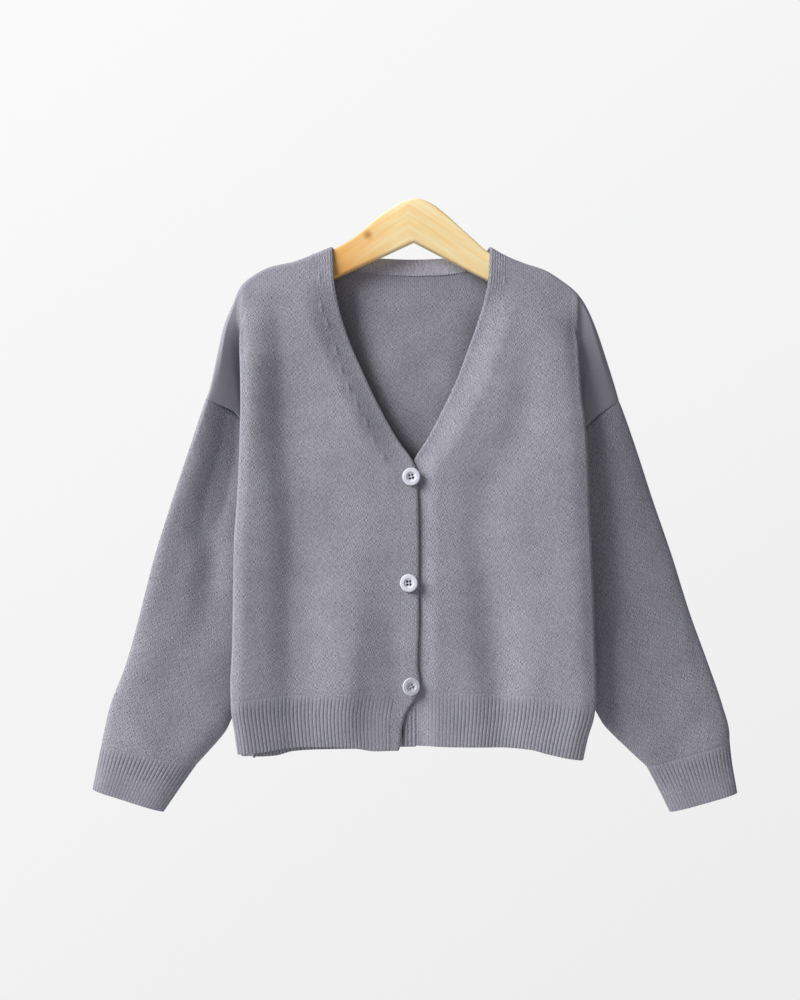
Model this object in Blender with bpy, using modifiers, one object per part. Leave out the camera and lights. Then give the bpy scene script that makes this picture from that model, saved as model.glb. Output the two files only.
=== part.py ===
"""Button cardigan, knitted in plain stocking stitch with ribbed hem and cuffs, on a wooden board hanger.

Lengths are in millimetres until a mesh is made. X runs to the wearer's left, the front faces -Y and +Z is up.
The origin is the top of the hanger, where its hook screws in. "Out" is the distance from the centre line
towards a sleeve, on either side. Each cloth piece is a wall: an outer net of points worked out by
body_point() or sleeve_point(), and an inner net one cloth thickness behind it.
"""

import math

import bmesh
import bpy
import numpy as np
from mathutils import Matrix, Vector

# ---- driving sizes ------------------------------------------------------------------------------------------
METRE = 0.001
CLOTH = 2.0             # wall of the knitted cloth
SEAM_GAP = 0.3          # air between two pieces that are sewn together
BOARD_THICK = 12.0      # wooden board of the hanger
BOARD_ROUND = 2.5       # rounding of its long edges
BOARD_CLEAR = 0.7       # air between board and cloth
UNDERARM = -316.0       # height of both underarm points
CHEST_ROW = -266.0      # height of the knitted row that ends at the underarm, where it crosses the front
LAP_STEP = 3.4          # how far the under front lies behind the over front
RIB_PITCH = 3.65        # one knit rib and one purl furrow of the hem
CUFF_PITCH = 4.9
RIB_RELIEF = 0.8
BUTTON_HOLE = 0.85      # radius of each sewing hole
BUTTON_HOLE_OUT = 1.9   # from the button's middle to a sewing hole
BUTTON_TO_BAND = 0.4    # air behind a button

BOARD_FLAT = BOARD_THICK / 2 - BOARD_ROUND              # flat half of the board's top edge
DRAPE_ROUND = BOARD_ROUND + BOARD_CLEAR + CLOTH         # outer radius of cloth that turns over the board
DRAPE_ARC = DRAPE_ROUND * math.pi / 2
DRAPE_EXTRA = BOARD_FLAT + DRAPE_ARC - DRAPE_ROUND      # cloth used up by the turn

# Depth of the body's face in front of the hanger's middle. Columns: drop below the shoulder, depth.
HANG = ((5.2, 8.7), (30, 12.8), (60, 15.8), (110, 18.6), (200, 21.0), (300, 22.6), (420, 22.4), (455, 21.0),
        (510, 18.6))

# Depth of the underarm tuck. Columns: drop below the shoulder point, tuck (negative: the face steps out).
TUCK = ((0, -6.0), (14, -3.0), (28, 0.5), (45, 4.0), (80, 11.0), (130, 23.0), (180, 36.0), (215, 42.5), (240, 43.5))
TUCK_FACE = 9.4         # depth of the tuck's hidden face
CAP_FACE = 7.2          # depth of the shoulder cap and of the sleeve where they lie in the tuck
FOLD_BEND = 3.8         # how far the side fold's bend reaches inwards
TUCK_BEND = 0.9         # the same for the tuck's turn
SIDE_CURVE = 8.0        # curve into the side seam below the underarm
CROWN = 0.14            # how much of its depth the body loses from the centre to the side fold
FORMED = (8, 34)        # the side fold forms between these lengths of cloth below the shoulder line

RIGHT, LEFT = -1, 1     # sides of the wearer, as signs of X
FRONT, BACK = -1, 1     # faces of the body, as signs of Y

# Shoulder line from the neck point to the sleeve seam. Columns: length along it, out, height.
SHOULDER = {
    RIGHT: ((0, 84, -48), (21, 103.5, -56), (40.6, 121.5, -63), (65, 145.5, -68.5), (84, 162.5, -77), (102, 176, -89),
            (116.5, 182, -102), (142.5, 191.7, -126), (177, 198.2, -160), (210, 205, -192), (219.5, 208.5, -201)),
    LEFT: ((0, 73, -48), (18, 88.5, -57), (38, 106.5, -64.5), (60, 127.5, -71.5), (80, 144.5, -82), (100, 160, -94.6),
           (117, 170.2, -108.6), (138, 179.2, -127.7), (176, 191.9, -163.4), (209.5, 202.1, -195.3), (217, 204, -202)),
}
BAND_AT_SHOULDER = {RIGHT: 21.0, LEFT: 18.0}            # length of shoulder line that a front band covers
FOLD_AT_SHOULDER = 104.0                                # where the side fold leaves the shoulder line
FOLD_STOPS = (-9, -4, -1, 4)                            # where columns 1 to 4 meet that line, from there

# Free edge of each front band. Columns: height, out.
BAND_EDGE = {
    RIGHT: ((-40, 84), (-79, 82.3), (-110.5, 76.9), (-145, 65.9), (-176.7, 52), (-207, 37.7), (-243, 17.5), (-262, 4.0),
            (-275, -0.6), (-342, -2.2), (-418, -2.2), (-463, -1.0), (-483, -3.4), (-496, 0.8), (-513, 11.1),
            (-530, 14.8), (-544, 16.2), (-552, 19.0)),
    LEFT: ((-40, 73), (-82, 70.8), (-100, 67.7), (-127, 59.7), (-155, 49.7), (-175.6, 42.2), (-209, 26.9), (-240, 10.7),
           (-262, -3.0), (-278, -10.0), (-310, -12.0), (-552, -12.1)),
}
# Width of each front band across. Columns: height, width.
BAND_WIDTH = {
    RIGHT: ((-40, 19.5), (-243, 20.0), (-275, 18.0), (-470, 18.2), (-492, 22.5), (-513, 14.5), (-552, 8.5)),
    LEFT: ((-40, 19.0), (-243, 20.0), (-290, 18.0), (-470, 18.5), (-492, 24.0), (-552, 24.2)),
}
# Outer edge of the body where its side folds back. Columns: height, out.
SIDE_FOLD = {
    RIGHT: ((-89, 176), (-143, 175.8), (-180, 174.8), (-202, 174.4), (-249, 175.4), (-301, 177.7), (-342, 180.4),
            (-383, 181.2), (-443, 182.2), (-484, 184), (-507, 183.2), (-530, 180), (-556, 176.5)),
    LEFT: ((-94, 160), (-127, 159.7), (-161, 161.3), (-196, 163.6), (-224, 167.0), (-262, 169.6), (-301, 170.8),
           (-368, 173.7), (-443, 176.3), (-494, 177.6), (-514, 175.3), (-535, 169.2), (-558, 164.3)),
}
# Armhole seam from the shoulder to the underarm. Columns: share of its length, out, height.
ARMHOLE = {
    RIGHT: ((0, 208.5, -201), (0.107, 194.5, -207), (0.22, 180.5, -213.5), (0.38, 169.5, -231), (0.57, 159.5, -253),
            (0.8, 148.5, -283), (0.93, 141.8, -306), (1, 138.5, -316)),
    LEFT: ((0, 204, -202), (0.11, 190.5, -210), (0.23, 175, -222), (0.4, 162.5, -239), (0.6, 150.5, -263),
           (0.8, 141.5, -288), (0.93, 136.0, -307), (1, 133.5, -316)),
}
# Side seam at the bottom of the tuck. Columns: height, out.
SIDE_SEAM = {
    RIGHT: ((-316, 138.5), (-319, 136.6), (-345, 139.0), (-401, 148.5), (-471, 158.5), (-523, 164.0), (-560, 163.5)),
    LEFT: ((-316, 133.5), (-319, 131.6), (-345, 134.0), (-401, 143), (-471, 153), (-523, 156.0), (-560, 151.5)),
}
# Upper and lower line of the rib hem. Columns: out, upper front, lower front, upper back, lower back.
HEM = {
    RIGHT: ((-12, -491, -548.5, -493, -549.5), (16, -491, -549.4, -493, -549.5), (40, -491.5, -546.4, -493, -549.5),
            (63, -492, -544, -493, -549.5), (100, -493, -544, -493.5, -550), (125, -494.3, -545.3, -495, -551.5),
            (145, -496, -549, -497, -556), (162, -498, -553, -499, -560), (178, -499.5, -556, -500.5, -557.5)),
    LEFT: ((-12, -490.6, -544, -493, -549.5), (34, -491.5, -545.3, -493, -549.5), (84, -493, -545.3, -493.5, -549.5),
           (115, -494.5, -548, -495, -550.5), (135, -496, -553, -497, -554), (155, -500, -556.6, -499, -560),
           (176, -506, -559, -503, -559.5)),
}
# Rings of each sleeve. Columns: share of length, outer edge out and height, inner edge out and height, half depth.
SLEEVE = {
    RIGHT: ((0, 208.5, -201, 138.5, -316, 7.2), (0.02, 209.8, -204.5, 140.6, -319, 7.2),
            (0.17, 226, -253, 146.5, -351, 7.2), (0.33, 243.5, -305, 154, -391, 7.3),
            (0.5, 260, -357, 161.5, -429, 7.5), (0.66, 274.5, -413, 169.5, -465, 7.8),
            (0.8, 289, -465, 177.5, -498, 8.2), (0.92, 305, -507, 189, -529, 9.0), (1, 313.5, -544, 219.5, -565, 9.2),
            (1.5, 322.8, -589, 251.9, -611.4, 8.0)),
    LEFT: ((0, 204, -202, 133.5, -316, 7.2), (0.02, 205.6, -205.5, 135.6, -319, 7.2),
           (0.17, 223, -253, 141.5, -351, 7.2), (0.33, 240.5, -305, 150, -391, 7.3),
           (0.5, 258.5, -357, 157.5, -429, 7.5), (0.66, 276, -413, 165.5, -465, 7.8),
           (0.8, 292.5, -465, 173.5, -498, 8.2), (0.92, 305.5, -507, 186, -524, 9.0), (1, 314.5, -545, 231.5, -569, 9.2),
           (1.5, 322.3, -595, 254.5, -614, 8.0)),
}
# Soft folds of the body. Columns: side, face, out and height at the top, out and height at the bottom,
# half width, depth (negative: a ridge).
BODY_FOLDS = (
    (RIGHT, FRONT, 145, -150, 152, -480, 12, 3.0),
    (RIGHT, FRONT, 106, -130, 112, -480, 16, -1.8),
    (RIGHT, FRONT, 66, -330, 66, -470, 12, 1.8),
    (LEFT, FRONT, 38, -330, 68, -480, 14, 2.4),
    (LEFT, FRONT, 132, -170, 140, -470, 18, -1.6),
    (RIGHT, BACK, 140, -170, 146, -480, 14, 2.6),
    (RIGHT, BACK, 60, -220, 52, -470, 18, 1.8),
    (LEFT, BACK, 128, -190, 140, -480, 14, 2.6),
    (LEFT, BACK, 48, -330, 60, -480, 16, 2.0),
)
# Seam under the neckband behind the neck. Columns: out, cloth between the top of the drape and the seam.
NECK_SEAM = {
    RIGHT: ((0, 34.2), (27, 33), (54, 29.8), (76, 24), (90, 16.5), (96, 11.5), (99.5, 7), (103.5, 0)),
    LEFT: ((0, 34.2), (27, 33), (48, 30), (66, 24), (76.5, 16.5), (81.5, 11.5), (85, 7), (88.5, 0)),
}
# Upper edge of the neckband behind the neck. Columns: share from neck point to neck point, X, Y, height.
NECK_EDGE = ((0, -84, 0, -48), (0.025, -83.8, 3.4, -48), (0.055, -82.6, 7.6, -49.6), (0.12, -71, 9.9, -53.0),
             (0.22, -52, 11.0, -56.0), (0.34, -31, 11.6, -58.0), (0.5, -3, 11.9, -58.9), (0.66, 24, 11.6, -58.0),
             (0.78, 44, 11.0, -56.0), (0.88, 61, 9.9, -53.0), (0.945, 71.8, 7.6, -49.6), (0.975, 72.8, 3.4, -48),
             (1, 73, 0, -48))
# Outline of the hanger board. Columns: X, height.
BOARD_TOP = ((-168, -92), (-162, -83.5), (-146, -73.6), (-121.5, -67.4), (-103.5, -61.2), (-93, -56.8),
             (-84, -51.8), (-70, -43.9), (-55, -32.9), (-40, -20.2), (-25, -9.5), (-12, -2.6), (0, 0.0),
             (13.5, -4.4), (28.5, -15.2), (44, -29.2), (59, -42.6), (71, -53.4), (80, -58.4), (88.5, -62.8),
             (106.5, -69.6), (127.5, -77.4), (142, -87.4), (150.5, -97))
BOARD_UNDER = ((148, -104), (135, -103), (105, -94.6), (70, -81.4), (-2.6, -43.4), (-82, -80), (-116, -93),
               (-146, -100.6), (-164, -100.5))
HOOK_HOLE = 4.0         # pilot hole for the hook's screw thread
HOOK_HOLE_DEPTH = 14.0
# Buttons. Columns: name, X, height, turn of the hole pattern, tilt about the upright axis (degrees).
BUTTONS = (("button_top", -5.2, -277.9, 12, 6), ("button_middle", -7.6, -382.8, 3, 11),
           ("button_bottom", -5.8, -484.5, 25, -4))
# Half section of a button, 18 mm across, with a raised rim. Columns: radius, height above its back.
BUTTON_SECTION = ((0, 1.9), (4.3, 1.9), (5.4, 3.2), (6.6, 3.4), (8.2, 2.8), (9.0, 1.6), (7.8, 0), (0, 0))

YARN = (0.258, 0.254, 0.305, 1.0)
WOOD = (0.80, 0.53, 0.24, 1.0)
BUTTON_PLASTIC = (0.69, 0.69, 0.81, 1.0)


# ---- curves -------------------------------------------------------------------------------------------------
def along(table, at):
    """Smooth curve through a table whose first column is the key: the other columns at the key 'at'."""
    rows = sorted(table)
    keys = [row[0] for row in rows]
    at = min(max(at, keys[0]), keys[-1])
    i = min(max(int(np.searchsorted(keys, at, side="right")) - 1, 0), len(rows) - 2)
    span = keys[i + 1] - keys[i]
    t = (at - keys[i]) / span
    values = []
    for column in range(1, len(rows[0])):
        step = (rows[i + 1][column] - rows[i][column]) / span
        start, end = step, step
        if i > 0:
            before = (rows[i][column] - rows[i - 1][column]) / (keys[i] - keys[i - 1])
            start = gentle(before, step)
        if i < len(rows) - 2:
            after = (rows[i + 2][column] - rows[i + 1][column]) / (keys[i + 2] - keys[i + 1])
            end = gentle(step, after)
        h00, h10 = (1 + 2 * t) * (1 - t) ** 2, t * (1 - t) ** 2
        h01, h11 = t * t * (3 - 2 * t), t * t * (t - 1)
        values.append(h00 * rows[i][column] + h10 * span * start + h01 * rows[i + 1][column] + h11 * span * end)
    return values if len(values) > 1 else values[0]


def gentle(before, after):
    """Slope at a table's row that never overshoots its neighbours."""
    if before * after <= 0:
        return 0.0
    return 2 * before * after / (before + after)


def mix(a, b, t):
    return a + (b - a) * t


def ease(t):
    t = min(max(t, 0.0), 1.0)
    return t * t * (3 - 2 * t)


def drape(length):
    """Cloth that turns over the board, 'length' from the board's middle: how far out in Y, how far down."""
    if length <= BOARD_FLAT:
        return length, 0.0
    turn = min((length - BOARD_FLAT) / DRAPE_ROUND, math.pi / 2)
    down = max(length - BOARD_FLAT - DRAPE_ARC, 0.0)
    return BOARD_FLAT + DRAPE_ROUND * math.sin(turn), DRAPE_ROUND * (1 - math.cos(turn)) + down


def soft_folds(side, face, out, height):
    """Depth of the body's soft folds at a place."""
    total = 0.0
    for row_side, row_face, out_a, top, out_b, bottom, half_width, depth in BODY_FOLDS:
        if (row_side, row_face) != (side, face):
            continue
        t = (height - top) / (bottom - top)
        reach = ease(t / 0.3 + 0.5) * ease((1.15 - t) / 0.3)
        total += depth * reach * math.exp(-(((out - mix(out_a, out_b, t)) / half_width) ** 2))
    return total


# ---- the body -----------------------------------------------------------------------------------------------
# Across a row, 'column' runs -1 band edge, 0 band seam or back's centre, 1 side fold begins, 2 fold ends, 3 tuck
# turns, 4 tuck has turned, 5 armhole or side seam. 'row' runs 0 shoulder, 1 underarm, 2 hem begins, 3 lower edge.
def shoulder_length(side, column):
    folds = [FOLD_AT_SHOULDER + stop for stop in FOLD_STOPS]
    return float(np.interp(column, range(-1, 6), [0, BAND_AT_SHOULDER[side], *folds, SHOULDER[side][-1][0]]))


def top_line(side, face, column):
    """Where a column starts: out and height of the top line, and the cloth above the column's first row."""
    if face == FRONT or column >= 1:
        out, height = along(SHOULDER[side], shoulder_length(side, column))
        return out, height, 0.0
    out = column * along(SHOULDER[side], shoulder_length(side, 1))[0]
    height = along([(row[1], row[2]) for row in SHOULDER[side]], out)
    return out, height, along(NECK_SEAM[side], out)


def hem_lines(side, face, out):
    lines = along(HEM[side], out)
    return (lines[0], lines[1]) if face == FRONT else (lines[2], lines[3])


def row_height(side, face, column, row):
    """Height of a knitted row, which falls towards the underarm, and the cloth between it and the top line."""
    top, start = top_line(side, face, column)[1:]
    at_arm = float(np.interp(column, (2, 3, 4, 5), (CHEST_ROW, UNDERARM + 7, UNDERARM + 5, UNDERARM)))
    if row <= 1:
        length = mix(start, top - at_arm + DRAPE_EXTRA, row)
        return top - drape(length)[1], length
    reach = 175 * min(max(column, 0), 1)
    upper, lower = hem_lines(side, face, reach)
    upper -= float(np.interp(column, (2, 3), (0, 3)))
    height = mix(at_arm, upper, row - 1) if row <= 2 else mix(upper, lower, row - 2)
    return height, top - height + DRAPE_EXTRA


def body_depth(side, face, column, height):
    """How far the body's face stands out in Y, before its soft folds."""
    drop = top_line(side, face, min(column, 1))[1] - height
    crown = CROWN * max(min(column, 1), 0) ** 3 * ease((drop - 30) / 80)
    return along(HANG, max(drop, DRAPE_ROUND)) * (1 - crown)


def formed(length):
    """How far the side fold has formed, at a length of cloth below the shoulder line."""
    return ease((length - FORMED[0]) / (FORMED[1] - FORMED[0]))


def panel_edge(side, face, column, height):
    """Out, where a panel's row begins: at its band in front, at the centre line behind."""
    if face == BACK:
        return 0.0
    return along(BAND_EDGE[side], height) + along(BAND_WIDTH[side], height) * (1 + min(column, 0))


def body_point(side, face, column, row):
    """A point of the body's outer face."""
    return (panel_point if column <= 1 else tuck_point)(side, face, column, row)


def panel_point(side, face, column, row):
    height, length = row_height(side, face, column, row)
    share = max(column, 0)
    top_out, top_height, start = top_line(side, face, column)
    fold_top = along(SHOULDER[side], shoulder_length(side, 1))[0]
    fold = mix(fold_top, along(SIDE_FOLD[side], height) - FOLD_BEND, formed(length))
    out = mix(panel_edge(side, face, column, height), fold, share)
    if row < 1:
        first = mix(panel_edge(side, face, column, top_height), fold_top, share)
        out += (top_out - first) * (1 - row) ** 3
    depth = body_depth(side, face, column, height)
    if length < BOARD_FLAT + DRAPE_ARC:
        depth = drape(length)[0]
    depth -= soft_folds(side, face, out, height)
    if (side, face) == (LEFT, FRONT):
        depth -= LAP_STEP * ease((CHEST_ROW + 20 - height) / 15) * ease((22 - out) / 20)
    return Vector((side * out, face * depth, height))


def tuck_point(side, face, column, row):
    """The side fold, the tuck behind it and the shoulder cap that comes out of the tuck."""
    height, length = row_height(side, face, column, row)
    top_out, top_height, start = top_line(side, face, column)
    seam, seam_height = (along(SIDE_SEAM[side], height), height) if row >= 1 else along(ARMHOLE[side], row)
    made = formed(length)
    opened = ease((row - 0.86) / 0.14)          # how far the tuck's turn has opened into the side seam's curve
    fold = along(SIDE_FOLD[side], height)
    tuck_out = fold - along(TUCK, along(SHOULDER[side], FOLD_AT_SHOULDER)[1] - height) + TUCK_BEND
    curve = seam, min(SIDE_CURVE, 0.5 * (fold - FOLD_BEND - seam)), armhole_depth(row)
    if column <= 2:
        front = body_depth(side, face, 1, height) - soft_folds(side, face, fold - FOLD_BEND, height)
        angle = (column - 1.5) * math.pi
        out = fold - FOLD_BEND + FOLD_BEND * math.cos(angle)
        depth = (front + TUCK_FACE) / 2 - (front - TUCK_FACE) / 2 * math.sin(angle)
    elif column <= 3:
        out = mix(fold - FOLD_BEND, mix(tuck_out, sum(curve[:2]), opened), column - 2)
        depth = TUCK_FACE
    else:
        out, depth = side_curve(*curve, column)
        if row < 1 and column <= 4:
            angle = (column - 3) * math.pi
            turn_out = tuck_out - TUCK_BEND * math.sin(angle)
            turn_depth = (TUCK_FACE + CAP_FACE) / 2 + (TUCK_FACE - CAP_FACE) / 2 * math.cos(angle)
            out, depth = mix(turn_out, out, opened), mix(turn_depth, depth, opened)
    if row >= 1:
        return Vector((side * out, face * depth, height))
    if column > 4:
        inner = tuck_point(side, face, 4, row)
        line = [along(SHOULDER[side], shoulder_length(side, stop)) for stop in (4, 5)]
        share, bow = column - 4, (1 - row) ** 2
        straight = mix(side * inner.x, seam, share)
        straight += (top_out - mix(line[0][0], line[1][0], share)) * bow
        height = mix(inner.z, seam_height, share) + (top_height - mix(line[0][1], line[1][1], share)) * bow
        flat = mix(face * inner.y, curve[2], mix(ease(share), share, opened))
        chord = [mix(a, b, share) for a, b in zip(side_curve(*curve, 4), side_curve(*curve, 5))]
        out, depth = straight + opened * (out - chord[0]), flat + opened * (side_curve(*curve, column)[1] - chord[1])
        return Vector((side * out, face * depth, height))
    plain = min(drape(length)[0], mix(BOARD_FLAT + DRAPE_ROUND, CAP_FACE, ease(column - 2)))
    return Vector((side * mix(top_out, out, made), face * mix(plain, depth, made), height))


def side_curve(seam, reach, rim, column):
    """The quarter turn out of the tuck to the side seam, whose own depth is 'rim': out and depth."""
    quarter = (column - 3) * math.pi / 4
    return seam + reach * (1 - math.sin(quarter)), mix(rim, TUCK_FACE, math.cos(quarter))


def armhole_depth(share):
    """Half depth of the armhole at a share of its length from the shoulder to the underarm."""
    return CAP_FACE * math.sqrt(max(1 - abs(2 * min(share, 1) - 1) ** 8, 0))


# ---- sleeves ------------------------------------------------------------------------------------------------
# Round a sleeve, 'turn' runs 0 outer edge to 1 inner edge, on either face. 'share' runs 0 armhole, 1 cuff
# begins, 1.5 cuff ends.
def sleeve_point(side, face, turn, share):
    outer_out, outer_height, inner_out, inner_height, half = along(SLEEVE[side], share)
    out, height = mix(outer_out, inner_out, turn), mix(outer_height, inner_height, turn)
    fade = max(1 - share / 0.35, 0) ** 2
    if fade:
        seam, seam_height = along(ARMHOLE[side], turn)
        top, underarm = SLEEVE[side][0][1:3], SLEEVE[side][0][3:5]
        out += (seam - mix(top[0], underarm[0], turn)) * fade
        height += (seam_height - mix(top[1], underarm[1], turn)) * fade
    flatness = mix(8, 4, ease(share / 0.4))
    depth = half * math.sqrt(max(1 - abs(2 * turn - 1) ** flatness, 0))
    return Vector((side * out, face * depth, height))


# ---- the neckband -------------------------------------------------------------------------------------------
def neckband_point(share, across):
    """'share' runs from the right shoulder round the back neck to the left one, 'across' from edge to seam."""
    side, corner = (RIGHT, 1 - 2 * share) if share < 0.5 else (LEFT, 2 * share - 1)
    reach = along(SHOULDER[side], shoulder_length(side, 1))[0]
    seam = panel_point(side, BACK, corner * NECK_SEAM[side][-1][0] / reach, 0)
    return Vector(along(NECK_EDGE, share)).lerp(seam, across)


# ---- walls --------------------------------------------------------------------------------------------------
STEP = 0.002            # step of the slopes below, in shares of a column or row
ROWS_TO_UNDERARM = (0, 0.019, 0.037, 0.058, 0.11, 0.2, 0.33, 0.5, 0.68, 0.84, 0.93, 0.975, 1)
ROWS_TO_HEM = (1.014, 1.2, 1.4, 1.6, 1.8, 2)
FRONT_COLUMNS = (0, 0.14, 0.28, 0.42, 0.56, 0.70, 0.83, 0.92, 1)
TUCK_COLUMNS = (1.25, 1.5, 1.75, 2, 2.5, 3, 3.33, 3.67, 4, 4.33, 4.67, 5)
SLEEVE_RINGS = (0, 0.02, 0.1, 0.2, 0.33, 0.5, 0.66, 0.8, 0.92, 1)
CUFF_RINGS = (1, 1.25, 1.5)
HEM_ROWS = (2, 2.5, 3)


def slopes(point, a, b, limits):
    """Direction of the surface point(a, b) along a and along b."""
    a_low, a_high, b_low, b_high = limits
    along_a = point(min(a + STEP, a_high), b) - point(max(a - STEP, a_low), b)
    along_b = point(a, min(b + STEP, b_high)) - point(a, max(b - STEP, b_low))
    return along_a, along_b


def nets(point, across, down, limits, sign, seams, on_plane=None, turned=None, ribs=0.0, nudge=None):
    """Outer and inner net of a wall whose outer face is point(a, b).

    'seams' names the edges that leave room for the next piece: l and r of 'across', t and b of 'down'.
    on_plane(a, b) gives the Y of a place that ends on the plane of the side seams. turned(a, b) gives the
    outward direction that two pieces share at their seam. 'ribs' raises every other column of the outer net,
    from nothing in its first row. nudge(a, b) moves a corner that several pieces share."""
    outer, inner = [], []
    for i, b in enumerate(down):
        outer.append([])
        inner.append([])
        for j, a in enumerate(across):
            place = point(a, b)
            along_a, along_b = slopes(point, a, b, limits)
            outward = (turned and turned(a, b)) or (along_a.cross(along_b) * sign).normalized()
            plane = on_plane(a, b) if on_plane else None
            edges = (("l", j == 0, along_a), ("r", j == len(across) - 1, -along_a),
                     ("t", i == 0, along_b), ("b", i == len(down) - 1, -along_b))
            for edge, here, inwards in edges:
                if here and edge in seams:
                    place = place + inwards.normalized() * SEAM_GAP / 2
            if plane is not None:
                place.y = plane
                outward = Vector((outward.x, 0, outward.z)).normalized()
            if nudge:
                place = place + nudge(a, b)
            raised = ribs * (0.5 if j % 2 else -0.5) * (i > 0)
            outer[-1].append(place + outward * raised)
            inner[-1].append(place - outward * CLOTH)
    return outer, inner


def underarm_nudge(side, way):
    """Moves the corner at the underarm, where body and sleeve turn back on each other, out of the crease."""
    def nudge(a, b):
        at_underarm = (abs(a), b) in ((5, 1), (1, 0))
        return Vector((side * way * SEAM_GAP, 0, 0)) if at_underarm else Vector()
    return nudge


def neck_outward(share):
    """Outward direction at the neckband's seam, halfway between the band's and the back's."""
    side, corner = (RIGHT, 1 - 2 * share) if share < 0.5 else (LEFT, 2 * share - 1)
    reach = along(SHOULDER[side], shoulder_length(side, 1))[0]
    column = corner * NECK_SEAM[side][-1][0] / reach
    band = slopes(neckband_point, share, 1, (0, 1, 0, 1))
    back = slopes(lambda a, b: body_point(side, BACK, a, b), column, 0, (-1, 5, 0, 3))
    return (band[0].cross(band[1]).normalized() + side * back[0].cross(back[1]).normalized()).normalized()


def seam_outward(side, face, share):
    """Outward direction at the armhole seam, halfway between the body's and the sleeve's."""
    if share == 1:
        return Vector((0, 0, -1))
    body = slopes(lambda a, b: body_point(side, face, a, b), 5, share, (-1, 5, 0, 1))
    sleeve = slopes(lambda a, b: sleeve_point(side, face, a, b), share, 0, (0, 1, 0, 1.5))
    total = (body[0].cross(body[1])).normalized() - (sleeve[0].cross(sleeve[1])).normalized()
    return (total * side * face).normalized()


def ladder(one, other, one_at=None, other_at=None):
    """Faces between two rows of vertex numbers. '_at' says where each vertex lies, where the rows are unlike."""
    one_at, other_at = one_at or range(len(one)), other_at or range(len(other))
    i, j, faces = 0, 0, []
    while i < len(one) - 1 or j < len(other) - 1:
        next_one = one_at[i + 1] if i < len(one) - 1 else math.inf
        next_other = other_at[j + 1] if j < len(other) - 1 else math.inf
        if abs(next_one - next_other) < 1e-9:
            faces.append((one[i], one[i + 1], other[j + 1], other[j]))
            i, j = i + 1, j + 1
        elif next_one < next_other:
            faces.append((one[i], one[i + 1], other[j]))
            i += 1
        else:
            faces.append((one[i], other[j + 1], other[j]))
            j += 1
    return faces


def between(row, stops, places):
    """Points at 'places' on the straight lines of a row that has a point at each of 'stops'."""
    points = []
    for place in places:
        i = min(max(int(np.searchsorted(stops, place, side="right")) - 1, 0), len(stops) - 2)
        points.append(row[i].lerp(row[i + 1], (place - stops[i]) / (stops[i + 1] - stops[i])))
    return points


def cloth_wall(name, outer, inner, outer_at=None, inner_at=None, tube=False):
    """Closed solid between an outer and an inner net. A tube's columns run round and meet again."""
    places, numbers = [], []
    for net in (outer, inner):
        rows = []
        for row in net:
            rows.append(list(range(len(places), len(places) + len(row))))
            places += row
            if tube:
                rows[-1].append(rows[-1][0])
        numbers.append(rows)
    faces = []
    for rows in numbers:
        for upper, lower in zip(rows, rows[1:]):
            faces += ladder(upper, lower)
    edges = [(rows[0], rows[-1]) for rows in numbers]
    for end in (0, 1):
        faces += ladder(edges[0][end], edges[1][end], outer_at, inner_at)
    if not tube:
        for column in (0, -1):
            faces += ladder([row[column] for row in numbers[0]], [row[column] for row in numbers[1]])
    mesh = bpy.data.meshes.new(name)
    mesh.from_pydata([tuple(place * METRE) for place in places], [], faces)
    shell = bmesh.new()
    shell.from_mesh(mesh)
    bmesh.ops.recalc_face_normals(shell, faces=shell.faces)
    bmesh.ops.triangulate(shell, faces=shell.faces, quad_method="SHORT_EDGE")
    shell.to_mesh(mesh)
    shell.free()
    return add_object(name, mesh, YARN, 0.95)


# ---- objects ------------------------------------------------------------------------------------------------
def start_scene():
    for thing in list(bpy.data.objects):
        bpy.data.objects.remove(thing)
    groups = []
    for name in ("button_cardigan_on_hanger", "cutters"):
        group = bpy.data.collections.new(name)
        bpy.context.scene.collection.children.link(group)
        groups.append(group)
    return groups


PART, CUTTERS = start_scene()


def add_object(name, mesh, colour, roughness):
    """A named object with its own material."""
    thing = bpy.data.objects.new(name, mesh)
    PART.objects.link(thing)
    material = bpy.data.materials.new(name)
    material.use_nodes = True
    finish = material.node_tree.nodes["Principled BSDF"]
    finish.inputs["Base Color"].default_value = colour
    finish.inputs["Roughness"].default_value = roughness
    mesh.materials.append(material)
    return thing


def cut(thing, name, cutter_mesh, placed):
    """Cut a mesh's shape out of an object."""
    cutter = bpy.data.objects.new(name, cutter_mesh)
    cutter.matrix_world = placed
    cutter.hide_render = True
    cutter.display_type = "WIRE"
    CUTTERS.objects.link(cutter)
    knife = thing.modifiers.new("holes", "BOOLEAN")
    knife.operation = "DIFFERENCE"
    knife.solver = "EXACT"
    knife.object = cutter


def rib_columns(point, start, end, row, pitch):
    """Columns half a rib apart, measured along a row from column start to column end."""
    dense = np.linspace(start, end, 900)
    places = [point(a, row) for a in dense]
    length = np.concatenate(([0], np.cumsum([(q - p).length for p, q in zip(places, places[1:])])))
    count = 2 * round(length[-1] / pitch) + 1
    return [float(a) for a in np.interp(np.linspace(0, length[-1], count), length, dense)]


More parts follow.
